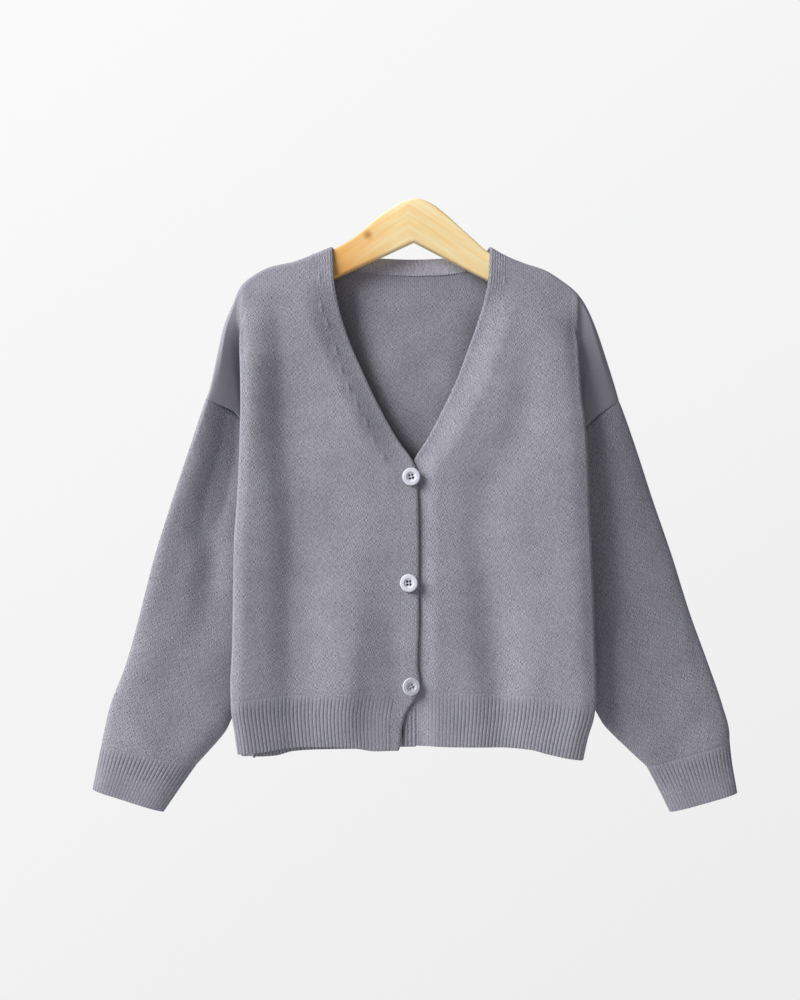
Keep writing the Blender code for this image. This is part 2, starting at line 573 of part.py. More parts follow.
def build_front(side, word):
    """Front panel, its band and its hem."""
    def point(a, b):
        return body_point(side, FRONT, a, b)

    def on_plane(a, b):
        return -SEAM_GAP / 2 if b == 0 or (a == 5 and b >= 1) else None

    def turned(a, b):
        return seam_outward(side, FRONT, b) if a == 5 and b <= 1 else None

    limits = (-1, 5, 0, 3)
    sign = side * FRONT
    columns = FRONT_COLUMNS + TUCK_COLUMNS
    rows = ROWS_TO_UNDERARM + ROWS_TO_HEM
    corner = underarm_nudge(side, -1)
    cloth_wall("front_" + word, *nets(point, columns, rows, limits, sign, "lrb", on_plane, turned, nudge=corner))
    band_rows = rows + HEM_ROWS[1:]
    cloth_wall("band_" + word, *nets(point, (-1, -0.5, 0), band_rows, limits, sign, "r", on_plane))
    hem_columns = rib_columns(point, 0, 5, 2.5, RIB_PITCH)
    outer = nets(point, hem_columns, HEM_ROWS, limits, sign, "lt", on_plane, ribs=RIB_RELIEF)[0]
    seam, inner = nets(point, columns, HEM_ROWS, limits, sign, "lt", on_plane)
    outer[0] = between(seam[0], columns, hem_columns)
    cloth_wall("hem_front_" + word, outer, inner, hem_columns, columns)


def build_back():
    """Back panel and its hem, in one piece from side to side."""
    def point(a, b):
        return body_point(RIGHT if a < 0 else LEFT, BACK, abs(a), b)

    def on_plane(a, b):
        side = RIGHT if a < 0 else LEFT
        on_shoulder = b == 0 and top_line(side, BACK, abs(a))[2] == 0
        return SEAM_GAP / 2 if on_shoulder or (abs(a) == 5 and b >= 1) else None

    def turned(a, b):
        side = RIGHT if a < 0 else LEFT
        if abs(a) == 5 and b <= 1:
            return seam_outward(side, BACK, b)
        if b == 0 and top_line(side, BACK, abs(a))[2] > 0:
            reach = along(SHOULDER[side], shoulder_length(side, 1))[0]
            return neck_outward(0.5 + 0.5 * a * reach / NECK_SEAM[side][-1][0])
        return None

    def nudge(a, b):
        return underarm_nudge(RIGHT if a < 0 else LEFT, -1)(a, b)

    limits = (-5, 5, 0, 3)
    halves = {side: neck_columns(side) + [0.78, 0.9, 1.0] + list(TUCK_COLUMNS) for side in (RIGHT, LEFT)}
    columns = [-a for a in reversed(halves[RIGHT])] + halves[LEFT][1:]
    rows = ROWS_TO_UNDERARM + ROWS_TO_HEM
    cloth_wall("back", *nets(point, columns, rows, limits, 1, "lrtb", on_plane, turned, nudge=nudge))
    hem_columns = rib_columns(point, -5, 5, 2.5, RIB_PITCH)
    outer = nets(point, hem_columns, HEM_ROWS, limits, 1, "t", on_plane, ribs=RIB_RELIEF)[0]
    seam, inner = nets(point, columns, HEM_ROWS, limits, 1, "t", on_plane)
    outer[0] = between(seam[0], columns, hem_columns)
    cloth_wall("hem_back", outer, inner, hem_columns, columns)


def neck_columns(side):
    """Columns of the back at the stations of the neckband's seam."""
    reach = along(SHOULDER[side], shoulder_length(side, 1))[0]
    return [row[0] / reach for row in NECK_SEAM[side]]


def build_neckband():
    shares = [0.5 - 0.5 * row[0] / NECK_SEAM[RIGHT][-1][0] for row in reversed(NECK_SEAM[RIGHT])]
    shares += [0.5 + 0.5 * row[0] / NECK_SEAM[LEFT][-1][0] for row in NECK_SEAM[LEFT][1:]]

    def on_plane(a, b):
        return SEAM_GAP / 2 if a in (0, 1) else None

    def turned(a, b):
        return neck_outward(a) if b == 1 and a not in (0, 1) else None

    cloth_wall("neckband_back", *nets(neckband_point, shares, (0, 0.5, 1), (0, 1, 0, 1), 1, "b", on_plane, turned))


def sleeve_nets(side, turns, shares, seams, ribs=0.0):
    """Outer and inner net of a sleeve or cuff, all round."""
    total_outer = [[] for _ in shares]
    total_inner = [[] for _ in shares]
    for face in (FRONT, BACK):
        def on_plane(a, b):
            return 0.0 if a in (0, 1) else None

        def turned(a, b):
            return seam_outward(side, face, a) if b == 0 else None

        def point(a, b):
            return sleeve_point(side, face, a, b)

        walk = turns if face == FRONT else list(reversed(turns))
        outer, inner = nets(point, walk, shares, (0, 1, 0, 1.5), -side * face, seams, on_plane, turned, ribs,
                            underarm_nudge(side, 1))
        for total, net in ((total_outer, outer), (total_inner, inner)):
            for whole, row in zip(total, net):
                whole += row[:-1]
    return total_outer, total_inner


def build_sleeve(side, word):
    cloth_wall("sleeve_" + word, *sleeve_nets(side, ROWS_TO_UNDERARM, SLEEVE_RINGS, "tb"), tube=True)
    turns = rib_columns(lambda a, b: sleeve_point(side, FRONT, a, b), 0, 1, 1.25, CUFF_PITCH)
    outer = sleeve_nets(side, turns, CUFF_RINGS, "t", RIB_RELIEF)[0]
    seam, inner = sleeve_nets(side, ROWS_TO_UNDERARM, CUFF_RINGS, "t")
    places, stops = all_round(turns), all_round(ROWS_TO_UNDERARM)
    outer[0] = between(seam[0] + seam[0][:1], stops, places[:-1])
    cloth_wall("cuff_" + word, outer, inner, places, stops, tube=True)


def all_round(turns):
    """Places round a tube, from the places on its front."""
    return list(turns) + [2 - turn for turn in reversed(turns[:-1])]


def build_buttons():
    for name, x, height, turn, tilt in BUTTONS:
        hem_top = HEM[RIGHT][1][1]
        seat = body_point(RIGHT, FRONT, -0.75, 2 - (height - hem_top) / (CHEST_ROW - hem_top))
        lift = BUTTON_TO_BAND + BUTTON_SECTION[-3][0] * math.sin(math.radians(abs(tilt)))
        mesh = bpy.data.meshes.new(name)
        points = [(radius * METRE, 0, rise * METRE) for radius, rise in BUTTON_SECTION]
        mesh.from_pydata(points, [(i, i + 1) for i in range(len(points) - 1)], [])
        button = add_object(name, mesh, BUTTON_PLASTIC, 0.35)
        button.matrix_world = (Matrix.Translation(Vector((x, seat.y - lift, height)) * METRE)
                               @ Matrix.Rotation(math.radians(tilt), 4, "Z") @ Matrix.Rotation(math.pi / 2, 4, "X"))
        spin = button.modifiers.new("turned", "SCREW")
        spin.steps = spin.render_steps = 20
        spin.use_merge_vertices = True
        spin.merge_threshold = 0.00001
        holes = bmesh.new()
        for corner in range(4):
            angle = math.radians(45 + 90 * corner + turn)
            shift = Matrix.Translation(Vector((math.cos(angle), math.sin(angle), 0)) * BUTTON_HOLE_OUT * METRE)
            bmesh.ops.create_cone(holes, cap_ends=True, segments=6, radius1=BUTTON_HOLE * METRE,
                                  radius2=BUTTON_HOLE * METRE, depth=12 * METRE, matrix=shift)
        cutter_mesh = bpy.data.meshes.new(name + "_holes")
        holes.to_mesh(cutter_mesh)
        holes.free()
        cut(button, name + "_holes", cutter_mesh, button.matrix_world.copy())


def build_hanger():
    left, right = BOARD_TOP[0][0], BOARD_TOP[-1][0]
    outline = [(x, along(BOARD_TOP, x)) for x in np.linspace(left, right, 27)] + list(BOARD_UNDER)
    board = bmesh.new()
    rim = [board.verts.new((x * METRE, -BOARD_THICK / 2 * METRE, z * METRE)) for x, z in outline]
    face = board.faces.new(rim)
    grown = bmesh.ops.extrude_face_region(board, geom=[face])["geom"]
    moved = [part for part in grown if isinstance(part, bmesh.types.BMVert)]
    bmesh.ops.translate(board, verts=moved, vec=(0, BOARD_THICK * METRE, 0))
    bmesh.ops.recalc_face_normals(board, faces=board.faces)
    mesh = bpy.data.meshes.new("hanger")
    board.to_mesh(mesh)
    board.free()
    hanger = add_object("hanger", mesh, WOOD, 0.45)
    edge = hanger.modifiers.new("rounded", "BEVEL")
    edge.width = BOARD_ROUND * METRE
    edge.segments = 2
    edge.limit_method = "ANGLE"
    edge.angle_limit = math.radians(60)
    drill = bmesh.new()
    bmesh.ops.create_cone(drill, cap_ends=True, segments=12, radius1=HOOK_HOLE / 2 * METRE,
                          radius2=HOOK_HOLE / 2 * METRE, depth=2 * HOOK_HOLE_DEPTH * METRE)
    drill_mesh = bpy.data.meshes.new("hook_hole")
    drill.to_mesh(drill_mesh)
    drill.free()
    cut(hanger, "hook_hole", drill_mesh, Matrix())


build_back()
for SIDE, WORD in ((RIGHT, "right"), (LEFT, "left")):
    build_front(SIDE, WORD)
    build_sleeve(SIDE, WORD)
build_neckband()
build_buttons()
build_hanger()
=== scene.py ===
"""Button cardigan in plain stocking stitch with ribbed hem and cuffs, on a wooden board hanger.

Lengths are in millimetres until a mesh is made. X runs to the wearer's left, the front faces -Y and +Z is up.
The origin is the top of the hanger, where its hook screws in. "Out" is the distance from the centre line
towards a sleeve, on either side.
"""

import functools
import math

import bmesh
import bpy
import mathutils
import numpy as np
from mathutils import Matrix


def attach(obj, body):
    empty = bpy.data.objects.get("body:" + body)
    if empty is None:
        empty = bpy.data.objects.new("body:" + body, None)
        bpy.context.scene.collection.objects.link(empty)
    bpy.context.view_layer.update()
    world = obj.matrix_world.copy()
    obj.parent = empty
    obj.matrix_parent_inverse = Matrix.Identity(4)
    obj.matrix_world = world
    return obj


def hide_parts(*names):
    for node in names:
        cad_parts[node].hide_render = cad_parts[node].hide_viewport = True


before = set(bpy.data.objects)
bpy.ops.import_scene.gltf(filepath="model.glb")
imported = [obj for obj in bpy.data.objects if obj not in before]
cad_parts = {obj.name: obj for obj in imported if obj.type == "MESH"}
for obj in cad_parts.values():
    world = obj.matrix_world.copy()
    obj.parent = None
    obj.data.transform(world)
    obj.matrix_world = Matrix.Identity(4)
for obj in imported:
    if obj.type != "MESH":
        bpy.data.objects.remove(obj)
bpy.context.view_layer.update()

# ---- hanger board ----------------------------------------------------------------------
# A flat board of two mitred beech halves, sawn to shape, its long edges rounded over, and finished with a clear
# satin varnish. A plain pilot hole in the top takes the thread of the wire hook.
MM = 0.001              # lengths are multiplied by this when a mesh is made
BOARD_THICK = 12.0
BOARD_ROUND = 2.5
HOOK_HOLE = 4.0
HOOK_HOLE_DEPTH = 14.0
# Outline. Columns: X, height.
BOARD_TOP = ((-168, -92), (-162, -83.5), (-146, -73.6), (-121.5, -67.4), (-103.5, -61.2), (-93, -56.8), (-84, -51.8),
             (-70, -43.9), (-55, -32.9), (-40, -20.2), (-25, -9.5), (-12, -2.6), (0, 0), (13.5, -4.4), (28.5, -15.2),
             (44, -29.2), (59, -42.6), (71, -53.4), (80, -58.4), (88.5, -62.8), (106.5, -69.6), (127.5, -77.4),
             (142, -87.4), (150.5, -97))
BOARD_UNDER = ((148, -104), (135, -103), (105, -94.6), (70, -81.4), (-2.6, -43.4), (-82, -80), (-116, -93),
               (-146, -100.6), (-164, -100.5))


def along(table, at):
    """Smooth curve through a table whose first column is the key: the other columns at each key in 'at'."""
    rows = np.array(sorted(table), float)
    keys, values = rows[:, 0], rows[:, 1:]
    at = np.clip(np.asarray(at, float), keys[0], keys[-1])
    i = np.clip(np.searchsorted(keys, at, side="right") - 1, 0, len(keys) - 2)
    span = np.diff(keys)
    rise = np.diff(values, axis=0) / span[:, None]
    before, after = rise[:-1], rise[1:]
    bend = np.where(before * after > 0, 2 * before * after / np.where(before + after == 0, 1, before + after), 0)
    slope = np.vstack((rise[:1], bend, rise[-1:]))
    t, reach = ((at - keys[i]) / span[i])[..., None], span[i][..., None]
    value = ((1 + 2 * t) * (1 - t) ** 2 * values[i] + t * (1 - t) ** 2 * reach * slope[i]
             + t * t * (3 - 2 * t) * values[i + 1] + t * t * (t - 1) * reach * slope[i + 1])
    return value[..., 0] if values.shape[1] == 1 else np.moveaxis(value, -1, 0)


def place_in_scene(name, shape, materials):
    """Object of a finished bmesh, shaded smooth, with its materials in order."""
    mesh = bpy.data.meshes.new(name)
    shape.to_mesh(mesh)
    shape.free()
    mesh.polygons.foreach_set("use_smooth", [True] * len(mesh.polygons))
    for material in materials:
        mesh.materials.append(material)
    piece = bpy.data.objects.new(name, mesh)
    bpy.context.scene.collection.objects.link(piece)
    return piece


def drill(piece, bits):
    """Cut the shape of the bmesh 'bits' out of a piece, for good."""
    bit = place_in_scene(piece.name + "_drill", bits, [])
    cut = piece.modifiers.new("drilled", "BOOLEAN")
    cut.operation, cut.solver, cut.object = "DIFFERENCE", "EXACT", bit
    whole = piece.data
    piece.data = bpy.data.meshes.new_from_object(piece.evaluated_get(bpy.context.evaluated_depsgraph_get()))
    piece.modifiers.clear()
    bpy.data.objects.remove(bit)
    bpy.data.meshes.remove(whole)


def linear(code):
    """Linear colour of an sRGB hex value."""
    parts = [int(code[i:i + 2], 16) / 255 for i in (1, 3, 5)]
    return (*[p / 12.92 if p <= 0.04045 else ((p + 0.055) / 1.055) ** 2.4 for p in parts], 1.0)


def new_material(name):
    """Material with no nodes yet."""
    material = bpy.data.materials.new(name)
    material.use_nodes = True
    material.node_tree.nodes.clear()
    return material


def node(material, kind, inputs=(), out=0, stops=(), **settings):
    """Add a node with its settings and give its output 'out'.

    'inputs' gives, by name or number, a value or the output it is linked to, and 'stops' a ramp's places and
    colours."""
    made = material.node_tree.nodes.new("ShaderNode" + kind)
    for name, value in settings.items():
        setattr(made, name, value)
    for i, (place, colour) in enumerate(stops):
        point = made.color_ramp.elements[i] if i < 2 else made.color_ramp.elements.new(place)
        point.position, point.color = place, colour
    for key, value in dict(inputs).items():
        if isinstance(value, bpy.types.NodeSocket):
            material.node_tree.links.new(value, made.inputs[key])
        else:
            made.inputs[key].default_value = value
    return made.outputs[out] if made.outputs else made


# Beech, sanded and varnished: a warm straw colour with long fine darker pores that run along each arm and meet in
# a chevron at the mitre, and a satin gloss.
MITRE = 0.008           # how far the mitre lies to the wearer's right of the hook (metres, like all in a material)
ARM_SLOPE = 0.57        # slope of the arms, in radians
KNOT = (-0.0485, -0.006, -0.037)
# Size of a streak along the arm, through it and across it, detail and roughness: fine pores, then broad bands.
STREAKS = (((0.050, 0.004, 0.0028), 5.0, 0.62), ((0.16, 0.02, 0.011), 2.0, 0.5))
beech = new_material("varnished_beech")
at = node(beech, "TexCoord", out="Object")
x, y, z = node(beech, "SeparateXYZ", {0: at}).node.outputs
from_mitre = node(beech, "Math", {0: node(beech, "Math", {0: x, 1: MITRE})}, operation="ABSOLUTE")
arm = node(beech, "CombineXYZ", {0: from_mitre, 1: y, 2: z})
drawn = []
for size, detail, roughness in STREAKS:
    lengthwise = node(beech, "Mapping", {"Vector": arm, "Rotation": (0, ARM_SLOPE, 0), "Scale": size},
                      vector_type="TEXTURE")
    drawn.append(node(beech, "TexNoise", {"Vector": lengthwise, "Scale": 1.0, "Detail": detail,
                                          "Roughness": roughness}))
grain, broad = drawn
wood = node(beech, "ValToRGB", {0: grain}, stops=((0.30, linear("#FFDC9A")), (0.5, linear("#FFE9B5")),
                                                  (0.72, linear("#FFF3CA"))))
shade = node(beech, "ValToRGB", {0: broad}, stops=((0.30, linear("#FAF0E0")), (0.65, linear("#FFFFFF"))))
knot = node(beech, "VectorMath", {0: at, 1: KNOT}, out="Value", operation="DISTANCE")
knot = node(beech, "Math", {0: knot, 1: 100.0}, operation="MULTIPLY")
knot = node(beech, "ValToRGB", {0: knot}, stops=((0.12, linear("#C89A60")), (0.62, linear("#FFFFFF"))))
far_end = node(beech, "MapRange", {0: x, 1: -0.085, 2: -0.02})
far_end = node(beech, "MixRGB", {0: far_end, 1: linear("#E9BB78"), 2: linear("#FFFFFF")})
for amount, tint in ((1.0, shade), (0.8, knot), (1.0, far_end)):
    wood = node(beech, "MixRGB", {0: amount, 1: wood, 2: tint}, blend_type="MULTIPLY")
pores = node(beech, "Bump", {"Strength": 0.25, "Distance": 0.0002, "Height": grain})
varnish = node(beech, "BsdfPrincipled", {"Base Color": wood, "Roughness": 0.42, "Specular IOR Level": 0.45,
                                         "Normal": pores})
node(beech, "OutputMaterial", {"Surface": varnish})

board = bmesh.new()
top = [(x, along(BOARD_TOP, x)) for x in np.linspace(BOARD_TOP[0][0], BOARD_TOP[-1][0], 64)]
rim = [board.verts.new((x * MM, -BOARD_THICK / 2 * MM, z * MM)) for x, z in top + list(BOARD_UNDER)]
face = board.faces.new(rim)
grown = bmesh.ops.extrude_face_region(board, geom=[face])["geom"]
bmesh.ops.translate(board, verts=[part for part in grown if isinstance(part, bmesh.types.BMVert)],
                    vec=(0, BOARD_THICK * MM, 0))
long_edges = [edge for edge in board.edges if abs(edge.verts[0].co.y - edge.verts[1].co.y) < 1e-6]
bmesh.ops.bevel(board, geom=long_edges, offset=BOARD_ROUND * MM, affect="EDGES", segments=4, profile=0.5,
                material=-1)
bmesh.ops.recalc_face_normals(board, faces=board.faces)
hanger_board = place_in_scene("hanger_board", board, [beech])
pilot = bmesh.new()
bmesh.ops.create_cone(pilot, cap_ends=True, segments=24, radius1=HOOK_HOLE / 2 * MM,
                      radius2=HOOK_HOLE / 2 * MM, depth=2 * HOOK_HOLE_DEPTH * MM)
drill(hanger_board, pilot)
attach(hanger_board, "root")
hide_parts("hanger")

# ---- back ------------------------------------------------------------------------------
# The back panel, knitted in plain stocking stitch, one layer about 2 mm thick. It hangs from the board, turns round
# each side and lies in a tuck there, and is linked to the fronts at the shoulders and sides and to the sleeves.
RIGHT, LEFT = -1, 1     # sides of the wearer, as signs of X
SIDES = ((RIGHT, "right"), (LEFT, "left"))
FRONT, BACK = -1, 1     # faces of the body, as signs of Y
CLOTH = 2.0
BOARD_CLEAR = 0.7
UNDERARM = -316.0       # height of both underarm points
CHEST_ROW = -266.0      # height of the knitted row that ends at the underarm, where it crosses the front
LAP_STEP = 3.4          # how far the under front lies behind the over front
# It sinks to that between two heights, and between two distances from the centre line.
LAP_HEIGHTS = (CHEST_ROW + 20, CHEST_ROW + 5)
LAP_OUTS = (22, 2)
WALE, COURSE = 2.0, 1.45            # one stitch across and down

BOARD_FLAT = BOARD_THICK / 2 - BOARD_ROUND              # flat half of the board's top edge
DRAPE_ROUND = BOARD_ROUND + BOARD_CLEAR + CLOTH         # outer radius of cloth that turns over the board
DRAPE_ARC = DRAPE_ROUND * math.pi / 2
DRAPE_EXTRA = BOARD_FLAT + DRAPE_ARC - DRAPE_ROUND      # cloth used up by the turn

# Depth of the body's face from the hanger's middle. Columns: drop below the shoulder, depth.
HANG = ((5.2, 8.7), (30, 12.8), (60, 15.8), (110, 18.6), (200, 21), (300, 22.6), (420, 22.4), (455, 21), (510, 18.6))
# Depth of the underarm tuck. Columns: drop below the shoulder point, tuck (negative: the face steps out).
TUCK = ((0, -6), (14, -3), (28, 0.5), (45, 4), (80, 11), (130, 23), (180, 36), (215, 42.5), (240, 43.5))
TUCK_FACE = 9.4         # depth of the tuck's hidden face
CAP_FACE = 7.2          # depth of the shoulder cap and of the sleeve where they lie in the tuck
FOLD_BEND = 3.8         # how far the side fold's bend reaches inwards
TUCK_BEND = 0.9         # the same for the tuck's turn
LEAST_DEPTH = 2.35      # half the thickness of a cap or sleeve pressed flat
SIDE_CURVE = 8.0        # curve into the side seam below the underarm
ARMHOLE_OVAL = 5        # power of the flattened oval in which an armhole lies
TUCK_OPENS = 0.86       # row from which the tuck's turn opens into the side seam's curve
SEAM_ROW = 0.975        # row from which the cap sinks towards the armhole seam
SEAM_SINK = 1.0         # how deep the linked armhole seam lies
UNDERARM_ROW = (CHEST_ROW, UNDERARM + 7, UNDERARM + 5, UNDERARM)    # heights of row 1 at columns 2 to 5
HEM_OUT = 175           # how far out the hem reaches
HEM_FALL = 3            # how much lower the hem begins inside the tuck
# Depths of the tuck at which the hidden half of the side fold's bend is straight and fully turned back.
TURNED = (-3, 6)
LEAST_TURN = -0.9       # where the face steps out, the bend turns the other way
# At a cap's outer end: share of its length that counts for the turn over the board, and how far it is pressed flat.
CAP_DRAPE = 0.7
CAP_PRESSED = 0.6
# Share of its depth that the body loses at the centre and at the side fold, and the drops over which that grows.
CROWN = {FRONT: (0.13, -0.28), BACK: (0.0, 0.12)}
CROWN_DROPS = (30, 110)
CROWN_SIDEWAYS = 1.5    # power of the change from the centre to the side fold
# Lengths of cloth from the top over which the side fold forms, and over which the soft folds come up.
FORMED = {RIGHT: (30, 66), LEFT: (38, 64)}
SOFT_LENGTHS = (8, 48)

# Shoulder line from the neck point to the sleeve seam. Columns: length along it, out, height.
SHOULDER = {
    RIGHT: ((0, 84, -48), (21, 103.5, -56), (40.6, 121.5, -63), (65, 145.5, -68.5), (84, 162.5, -77), (102, 176, -89),
            (116.5, 182, -102), (142.5, 191.7, -126), (177, 198.2, -160), (210, 205, -192), (219.5, 208.5, -201)),
    LEFT: ((0, 73, -48), (18, 88.5, -57), (38, 106.5, -64.5), (60, 127.5, -71.5), (80, 144.5, -82), (100, 160, -94.6),
           (117, 170.2, -108.6), (138, 179.2, -127.7), (176, 191.9, -163.4), (209.5, 202.1, -195.3),
           (217, 204, -202)),
}
BAND_AT_SHOULDER = {RIGHT: 21.0, LEFT: 18.0}            # length of shoulder line that a front band covers
FOLD_AT_SHOULDER = 104.0                                # where the side fold leaves the shoulder line
FOLD_STOPS = {RIGHT: (-18, -8, -2, 7), LEFT: (-12, -5, -1, 5)}  # where columns 1 to 4 meet that line, from there

# Free edge of each front band. Columns: height, out.
BAND_EDGE = {
    RIGHT: ((-40, 84), (-79, 82.3), (-110.5, 76.9), (-145, 65.9), (-176.7, 52), (-207, 37.7), (-243, 17.5), (-262, 4),
            (-275, -0.6), (-342, -2.2), (-418, -2.2), (-463, -1), (-483, -3.4), (-496, 0.8), (-513, 11.1),
            (-530, 14.8), (-544, 16.2), (-552, 19)),
    LEFT: ((-40, 73), (-82, 70.8), (-100, 67.7), (-127, 59.7), (-155, 49.7), (-175.6, 42.2), (-209, 26.9),
           (-240, 10.7), (-262, -3), (-278, -10), (-310, -12), (-552, -12.1)),
}
# Width of each front band across. Columns: height, width.
BAND_WIDTH = {
    RIGHT: ((-40, 19.5), (-243, 20), (-275, 18), (-470, 18.2), (-492, 22.5), (-513, 14.5), (-552, 8.5)),
    LEFT: ((-40, 19), (-243, 20), (-290, 18), (-470, 18.5), (-492, 24), (-552, 24.2)),
}
# Outer edge of the body where its side folds back. Columns: height, out.
SIDE_FOLD = {
    RIGHT: ((-89, 176), (-143, 175.8), (-180, 174.8), (-202, 174.4), (-249, 175.4), (-301, 177.7), (-342, 180.4),
            (-383, 181.2), (-443, 182.2), (-484, 184), (-507, 183.2), (-530, 180), (-556, 176.5)),
    LEFT: ((-94, 160), (-127, 159.7), (-161, 161.3), (-196, 163.6), (-224, 167), (-262, 169.6), (-301, 170.8),
           (-368, 173.7), (-443, 176.3), (-494, 177.6), (-514, 175.3), (-535, 169.2), (-558, 164.3)),
}
# Armhole seam from the shoulder to the underarm. Columns: share of its length, out, height.
ARMHOLE = {
    RIGHT: ((0, 208.5, -201), (0.107, 194.5, -207), (0.22, 180.5, -213.5), (0.38, 169.5, -231), (0.57, 159.5, -253),
            (0.8, 148.5, -283), (0.93, 141.8, -306), (1, 138.5, -316)),
    LEFT: ((0, 204, -202), (0.11, 190.5, -210), (0.23, 175, -222), (0.4, 162.5, -239), (0.6, 150.5, -263),
           (0.8, 141.5, -288), (0.93, 136, -307), (1, 133.5, -316)),
}
# Side seam at the bottom of the tuck. Columns: height, out.
SIDE_SEAM = {
    RIGHT: ((-316, 138.5), (-319, 136.6), (-345, 139), (-401, 148.5), (-471, 158.5), (-523, 164), (-560, 163.5)),
    LEFT: ((-316, 133.5), (-319, 131.6), (-345, 134), (-401, 143), (-471, 153), (-523, 156), (-560, 151.5)),
}
# Upper and lower line of the rib hem. Columns: out, upper front, lower front, upper back, lower back.
HEM = {
    RIGHT: ((-12, -491, -548.5, -493, -550.5), (16, -491, -549.4, -493, -551), (40, -491.5, -546.6, -493, -552.6),
            (63, -492, -545, -493, -553), (100, -493, -545, -493.5, -553.2), (125, -494.3, -546.4, -495, -554.5),
            (145, -496, -549, -497, -559.5), (162, -498, -550.6, -499, -560.5), (178, -499.5, -552, -500.5, -558.5)),
    LEFT: ((-12, -490.6, -544, -493, -549.5), (34, -491.5, -545.3, -493, -549.5), (84, -493, -545.3, -493.5, -549.5),
           (115, -494.5, -547, -495, -550.5), (135, -496, -551, -497, -554.5), (155, -500, -554.6, -499, -560),
           (176, -506, -557.4, -503, -560)),
}
# Lines of the body's soft folds. Columns: height, out, half width on the outer side and on the inner side, depth,
# which is negative on a ridge.
BODY_FOLDS = {
    (RIGHT, FRONT): [
        ((-96, 137, 12, 24, 0), (-120, 135, 14, 30, 2.6), (-150, 132, 17, 38, 5.4), (-180, 131, 18, 42, 7.6),
         (-222, 129, 19, 46, 8.4), (-262, 126, 20, 50, 8), (-300, 122, 20, 52, 7.2), (-340, 120, 20, 54, 7),
         (-399, 121, 20, 56, 7.8), (-458, 122, 20, 54, 7.4), (-488, 121, 18, 48, 5.4), (-530, 120, 16, 40, 3)),
        ((-330, 70, 30, 20, 0), (-370, 66, 36, 20, -1.8), (-399, 64, 42, 21, -4.4), (-458, 66, 44, 22, -7),
         (-488, 68, 40, 20, -5.6), (-530, 70, 30, 16, -1.5)),
        ((-400, 24, 13, 12, 0), (-440, 22, 14, 12, 1.4), (-490, 21, 13, 12, 1.4), (-520, 21, 12, 12, 0.4)),
    ],
    (LEFT, FRONT): [
        ((-120, 118, 14, 14, 0), (-163, 115, 15, 15, 1.4), (-222, 104, 20, 20, 2.2), (-300, 70, 26, 22, 2.2),
         (-340, 63, 30, 22, 3.6), (-380, 70, 32, 23, 4.8), (-419, 75, 32, 23, 6.2), (-458, 79, 28, 22, 7.2),
         (-488, 81, 22, 20, 5.4), (-530, 82, 18, 16, 2.2)),
    ],
    (RIGHT, BACK): [
        ((-110, 139, 12, 16, 0), (-150, 136, 14, 20, 2.6), (-200, 131, 17, 26, 5.4), (-260, 124, 20, 32, 6),
         (-340, 120, 22, 36, 5.2), (-420, 124, 20, 34, 5.8), (-488, 128, 17, 26, 3.8), (-530, 128, 16, 20, 1.6)),
        ((-230, 62, 26, 16, 0), (-300, 58, 30, 20, -2.2), (-380, 52, 34, 22, -3.4), (-458, 56, 32, 20, -4.2),
         (-530, 58, 24, 16, -0.8)),
    ],
    (LEFT, BACK): [
        ((-120, 128, 13, 20, 0), (-170, 124, 15, 24, 2.4), (-230, 117, 18, 30, 4.6), (-300, 112, 21, 34, 5.6),
         (-380, 108, 22, 34, 5), (-458, 112, 20, 30, 5.4), (-530, 114, 16, 24, 1.8)),
        ((-280, 40, 20, 16, 0), (-350, 46, 24, 20, 2.6), (-420, 52, 24, 20, 4), (-488, 54, 20, 17, 3),
         (-530, 54, 16, 15, 1)),
    ],
}
# How far the roll at the side fold falls away, and its reach.
EDGE_ROUND = {(RIGHT, FRONT): (5, 8), (LEFT, FRONT): (4.5, 12), (RIGHT, BACK): (3, 9), (LEFT, BACK): (4, 9)}
EDGE_ROUND_HEIGHTS = (-92, -147)        # it grows from the first height to the second
EDGE_ROUND_OUT = 2      # how far outside the fold's edge its middle lies
# The hollow beside the body's side fold. Columns: height, share of its depth that a cap or sleeve loses there, middle
# of the hollow from the fold, reach.
HOLLOW = {
    RIGHT: ((-600, 0.45, 26, 16), (-340, 0.50, 25, 16), (-300, 0.56, 22, 15), (-260, 0.62, 17, 14),
            (-240, 0.64, 13, 13), (-220, 0.66, 10, 12), (-200, 0.66, 7, 12), (-170, 0.64, 3, 12),
            (-100, 0.62, 2, 13)),
    LEFT: ((-600, 0.66, 2, 11), (-260, 0.66, 3, 11), (-200, 0.66, 5, 11), (-160, 0.66, 5, 11), (-120, 0.66, 3, 10)),
}
# How a cap or sleeve leans. Columns: height, shift back beside the body, shift at its outer edge, width of the turn.
LEAN = {
    RIGHT: ((-600, 0, -4, 60), (-540, 1, -7, 90), (-450, 2.4, -10.5, 110), (-390, 2.8, -12.5, 98), (-330, 3, -13, 78),
            (-280, 3.2, -14, 58), (-230, 3.2, -14.5, 40), (-190, 3.2, -14.5, 29), (-160, 3, -12.5, 23),
            (-138, 2, -8, 19), (-120, 0.3, -2.5, 17), (-106, 0, 0, 16)),
    LEFT: ((-600, 0, 7, 60), (-520, 2.4, 12, 110), (-420, 4.5, 17, 100), (-300, 5, 16, 66), (-230, 5, 11, 46),
           (-180, 5, 7, 32), (-156, 4, 5, 26), (-134, 1.6, 2.5, 20), (-114, 0, 0.5, 20), (-84, 0, 0, 16)),
}
# The neck edges of the fronts fall back towards the back panel, and that dishes forward behind them.
# Columns: height, fall of the front's edge, dish of the back.
NECK_FALL = ((-320, 0, 0), (-268, 3, 10), (-240, 6.5, 13), (-150, 7.5, 10), (-110, 5.5, 6), (-80, 0.5, 1.5),
             (-60, 0, 0))
NECK_FALL_REACH = 34.0  # from the front's edge
DISH_WIDTH = 66.0       # half width of the dish
